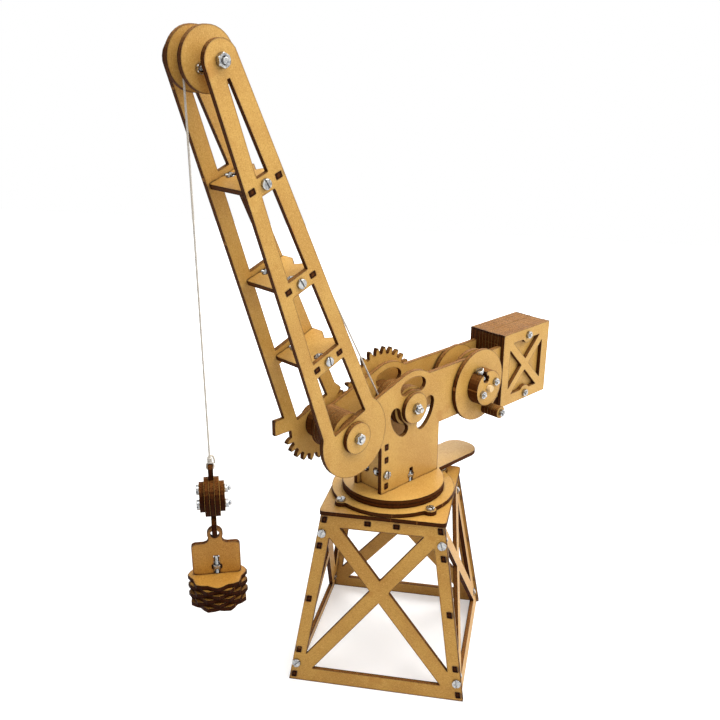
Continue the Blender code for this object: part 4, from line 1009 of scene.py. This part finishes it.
def counterweight_layers():
    """The solid boards of the counterweight, not quite flush with each other."""
    draw = random.Random(19)
    mesh = bmesh.new()
    for i in range(CAB_LAYERS):
        du, dz = nudged(draw, BLOCK_UNEVEN)
        u = (BLOCK_U[0] + du, BLOCK_U[1] + du - 0.1)
        z = (BLOCK_Z[0] + dz, BLOCK_Z[1] + dz - 0.1)
        rim = square_loop((u[0] + LAYER_RIM, u[1] - LAYER_RIM), (z[0] + LAYER_RIM, z[1] - LAYER_RIM))
        outline = square_loop(u, z)
        low = -CAB_INSIDE + i * BOARD + LAYER_GAP
        high = low + BOARD - 2 * LAYER_GAP
        stack_rings(mesh, CAB, [
            (low, rim), (low + LAYER_RIM, outline), (high - LAYER_RIM, outline), (high, rim),
        ])
    start = (CAB @ Vector((0.0, 0.0, -CAB_INSIDE))).dot(CRANK)
    look = board_material("board_counterweight_layers", CRANK, start)
    piece("counterweight_layers", mesh, look, "cab", ["counterweight_block"], 30.0)


# String

def along(points, step):
    """The same path with points a step apart."""
    made, left = [points[0].copy()], step
    for here, there in zip(points, points[1:]):
        length = (there - here).length
        while left <= length:
            made.append(here.lerp(there, left / length))
            left += step
        left -= length
    if (made[-1] - points[-1]).length > step / 4:
        made.append(points[-1].copy())
    return made


def twine_mesh(mesh, points):
    """A twisted string of three strands along a path, in millimetres."""
    path = along(points, TWINE_STEP)
    tangent = (path[1] - path[0]).normalized()
    normal = tangent.orthogonal().normalized()
    rings = []
    for i, point in enumerate(path):
        ahead = path[min(i + 1, len(path) - 1)] - path[max(i - 1, 0)]
        ahead.normalize()
        normal = (normal - ahead * normal.dot(ahead)).normalized()
        side = ahead.cross(normal)
        turn = math.tau * i * TWINE_STEP / LAY
        ring = []
        for k in range(TWINE_SIDES):
            angle = math.tau * k / TWINE_SIDES
            lobe = abs(math.cos(STRANDS / 2 * (angle - turn)))
            r = ROPE_R * (0.66 + 0.34 * math.sqrt(lobe))
            offset = normal * math.cos(angle) * r + side * math.sin(angle) * r
            ring.append(mesh.verts.new((point + offset) * MM))
        rings.append(ring)
    for lower, upper in zip(rings, rings[1:]):
        for k in range(TWINE_SIDES):
            j = (k + 1) % TWINE_SIDES
            mesh.faces.new((lower[k], lower[j], upper[j], upper[k]))
    mesh.faces.new(rings[0][::-1])
    mesh.faces.new(rings[-1])


def string_piece(name, paths, body, replaces=()):
    """One object with a twisted string along each path."""
    mesh = bmesh.new()
    for path in paths:
        twine_mesh(mesh, path)
    return piece(name, mesh, STRING, body, replaces, 80.0)


def between(start, end, steps):
    return [start.lerp(end, i / steps) for i in range(steps + 1)]


def taut(piece_of_string, path, with_pieces=()):
    """Turns the points of a stretch of the string into metres, and keeps nothing of them."""
    path = [tuple(point * MM) for point in path]


def on_circle(centre, radius, angle):
    return centre[0] + radius * math.cos(angle), centre[1] + radius * math.sin(angle)


def arc(centre, radius, start, end, steps):
    return [on_circle(centre, radius, start + (end - start) * i / steps) for i in range(steps + 1)]


def on_middle(points):
    """Places in the middle of the cab's width, where the string runs."""
    return [CAB @ Vector((u, z, 0.0)) for u, z in points]


def make_strings():
    """The string's route, the same as in the part's source."""
    drive, winch, sheave = (on_cab(anchor(j)) for j in ("drive_spin", "winch_turn", "sheave_spin"))
    du, dz = drive[0] - winch[0], drive[1] - winch[1]
    forward = math.atan2(dz, du) + math.asin((ROPE_ON_DRUM - ROPE_ON_ROLLER) / math.hypot(du, dz))
    du, dz = sheave[0] - drive[0], sheave[1] - drive[1]
    up = math.atan2(dz, du) - math.asin((ROPE_ON_ROLLER + ROPE_ON_SHEAVE) / math.hypot(du, dz))

    leave = forward + math.pi / 2
    turns = []
    for i in range(TURN_STEPS * ROPE_TURNS + 1):
        turn = i / TURN_STEPS
        u, z = on_circle(winch, ROPE_ON_DRUM, leave + math.tau * turn)
        turns.append(CAB @ Vector((u, z, turn * ROPE_PITCH)))
    string_piece("string_on_drum", [turns], "winch", ["rope_on_drum"])

    wrap = arc(drive, ROPE_ON_ROLLER, leave, up + math.pi / 2, WRAP_STEPS)
    to_roller = on_middle([on_circle(winch, ROPE_ON_DRUM, leave)] + wrap)
    taut(string_piece("string_to_roller", [to_roller], "cab", ["rope_drum_to_roller"]), to_roller)

    low = on_circle(drive, ROPE_ON_ROLLER, up + math.pi / 2)
    high = on_circle(sheave, ROPE_ON_SHEAVE, up - math.pi / 2)
    to_sheave = between(*on_middle([low, high]), RUN_STEPS)
    taut(string_piece("string_to_sheave", [to_sheave], "run", ["rope_run"]), to_sheave)

    hook = on_cab(HOOK_AT)
    over = on_middle(arc(sheave, ROPE_ON_SHEAVE, up - math.pi / 2, math.pi, OVER_STEPS))
    bottom = on_middle([(hook[0], hook[1] + EYE_AT + EYE_R + KNOT_HIGH)])[0]
    path = over + between(over[-1], bottom, FALL_STEPS)[1:]
    fall = string_piece("string_fall", [path], None, ["rope_fall"])
    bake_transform(fall)
    taut(fall, path, [knot()])


def knot():
    """The loop through the ball's eye, the turns round the standing part and the short tail."""
    web = (EYE_HOLE_R + EYE_R) / 2
    centre = EYE_AT + web
    high = (EYE_R - EYE_HOLE_R) / 2 + ROPE_R
    wide = BOARD / 2 + ROPE_R
    loop = []
    for i in range(40):
        angle = math.tau * (i + 0.5) / 40 + math.pi / 2
        c, s = math.cos(angle), math.sin(angle)
        loop.append(HOOK @ Vector((
            0.35 * s, centre + math.copysign(abs(s) ** 0.6, s) * high,
            math.copysign(abs(c) ** 0.6, c) * wide,
        )))
    turns = []
    for i in range(24 * KNOT_TURNS + 1):
        angle = math.tau * i / 24
        level = EYE_AT + EYE_R + ROPE_R + 0.4 + i / 24 * KNOT_PITCH
        turns.append(HOOK @ Vector((KNOT_R * math.cos(angle), level, KNOT_R * math.sin(angle))))
    tail = [
        turns[-1],
        HOOK @ Vector((KNOT_R + 0.5, level + 0.4, 0.9)),
        HOOK @ Vector((KNOT_R + 1.2, level - 0.4, 2.0)),
        HOOK @ Vector((KNOT_R + 1.5, level - TAIL / 2, 2.6)),
        HOOK @ Vector((KNOT_R + 1.3, level - TAIL, 2.7)),
    ]
    return string_piece("string_knot", [loop, turns + tail[1:]], "hook")


make_camera()
make_world()
make_floor()
for lamp, settings in LAMPS.items():
    softbox(lamp, *settings)
dress_nodes()
tower_screws()
ring_screws()
cab_screws()
rung_screws()
winch_hardware()
sheave_hardware()
ball_hardware()
knob_hardware()
load_hardware()
slew_hardware()
through_bolt(
    "pivot_screw", shifted(CAB, *on_cab(anchor("luff"))), -PIVOT_FAR, PIVOT_OUTSIDE, "cab",
    replaces=["boom_pivot_bolt"],
)
through_bolt(
    "drive_axle", DRIVE, -DRIVE_FAR, DRIVE_OUTSIDE, "drive", reach=3.0,
    replaces=["drive_axle_bolt"],
)
through_bolt(
    "sheave_axle", SHEAVE, -far_outside(BOOM_LONG - TIP_R), BOOM_OUTSIDE, "boom",
    replaces=["sheave_axle_bolt"],
)
for where, z in zip(("bottom", "top"), BLOCK_BOLT_Z):
    through_bolt(
        f"counterweight_screw_{where}", shifted(CAB, BLOCK_BOLT_U, z), -BLOCK_OUTSIDE,
        BLOCK_OUTSIDE, "cab", radius=SCREW_R, replaces=[f"counterweight_bolt_{where}"],
    )
spacer_and_knob()
roller_layers()
counterweight_layers()
make_strings()

bpy.context.scene.view_settings.view_transform = "Standard"
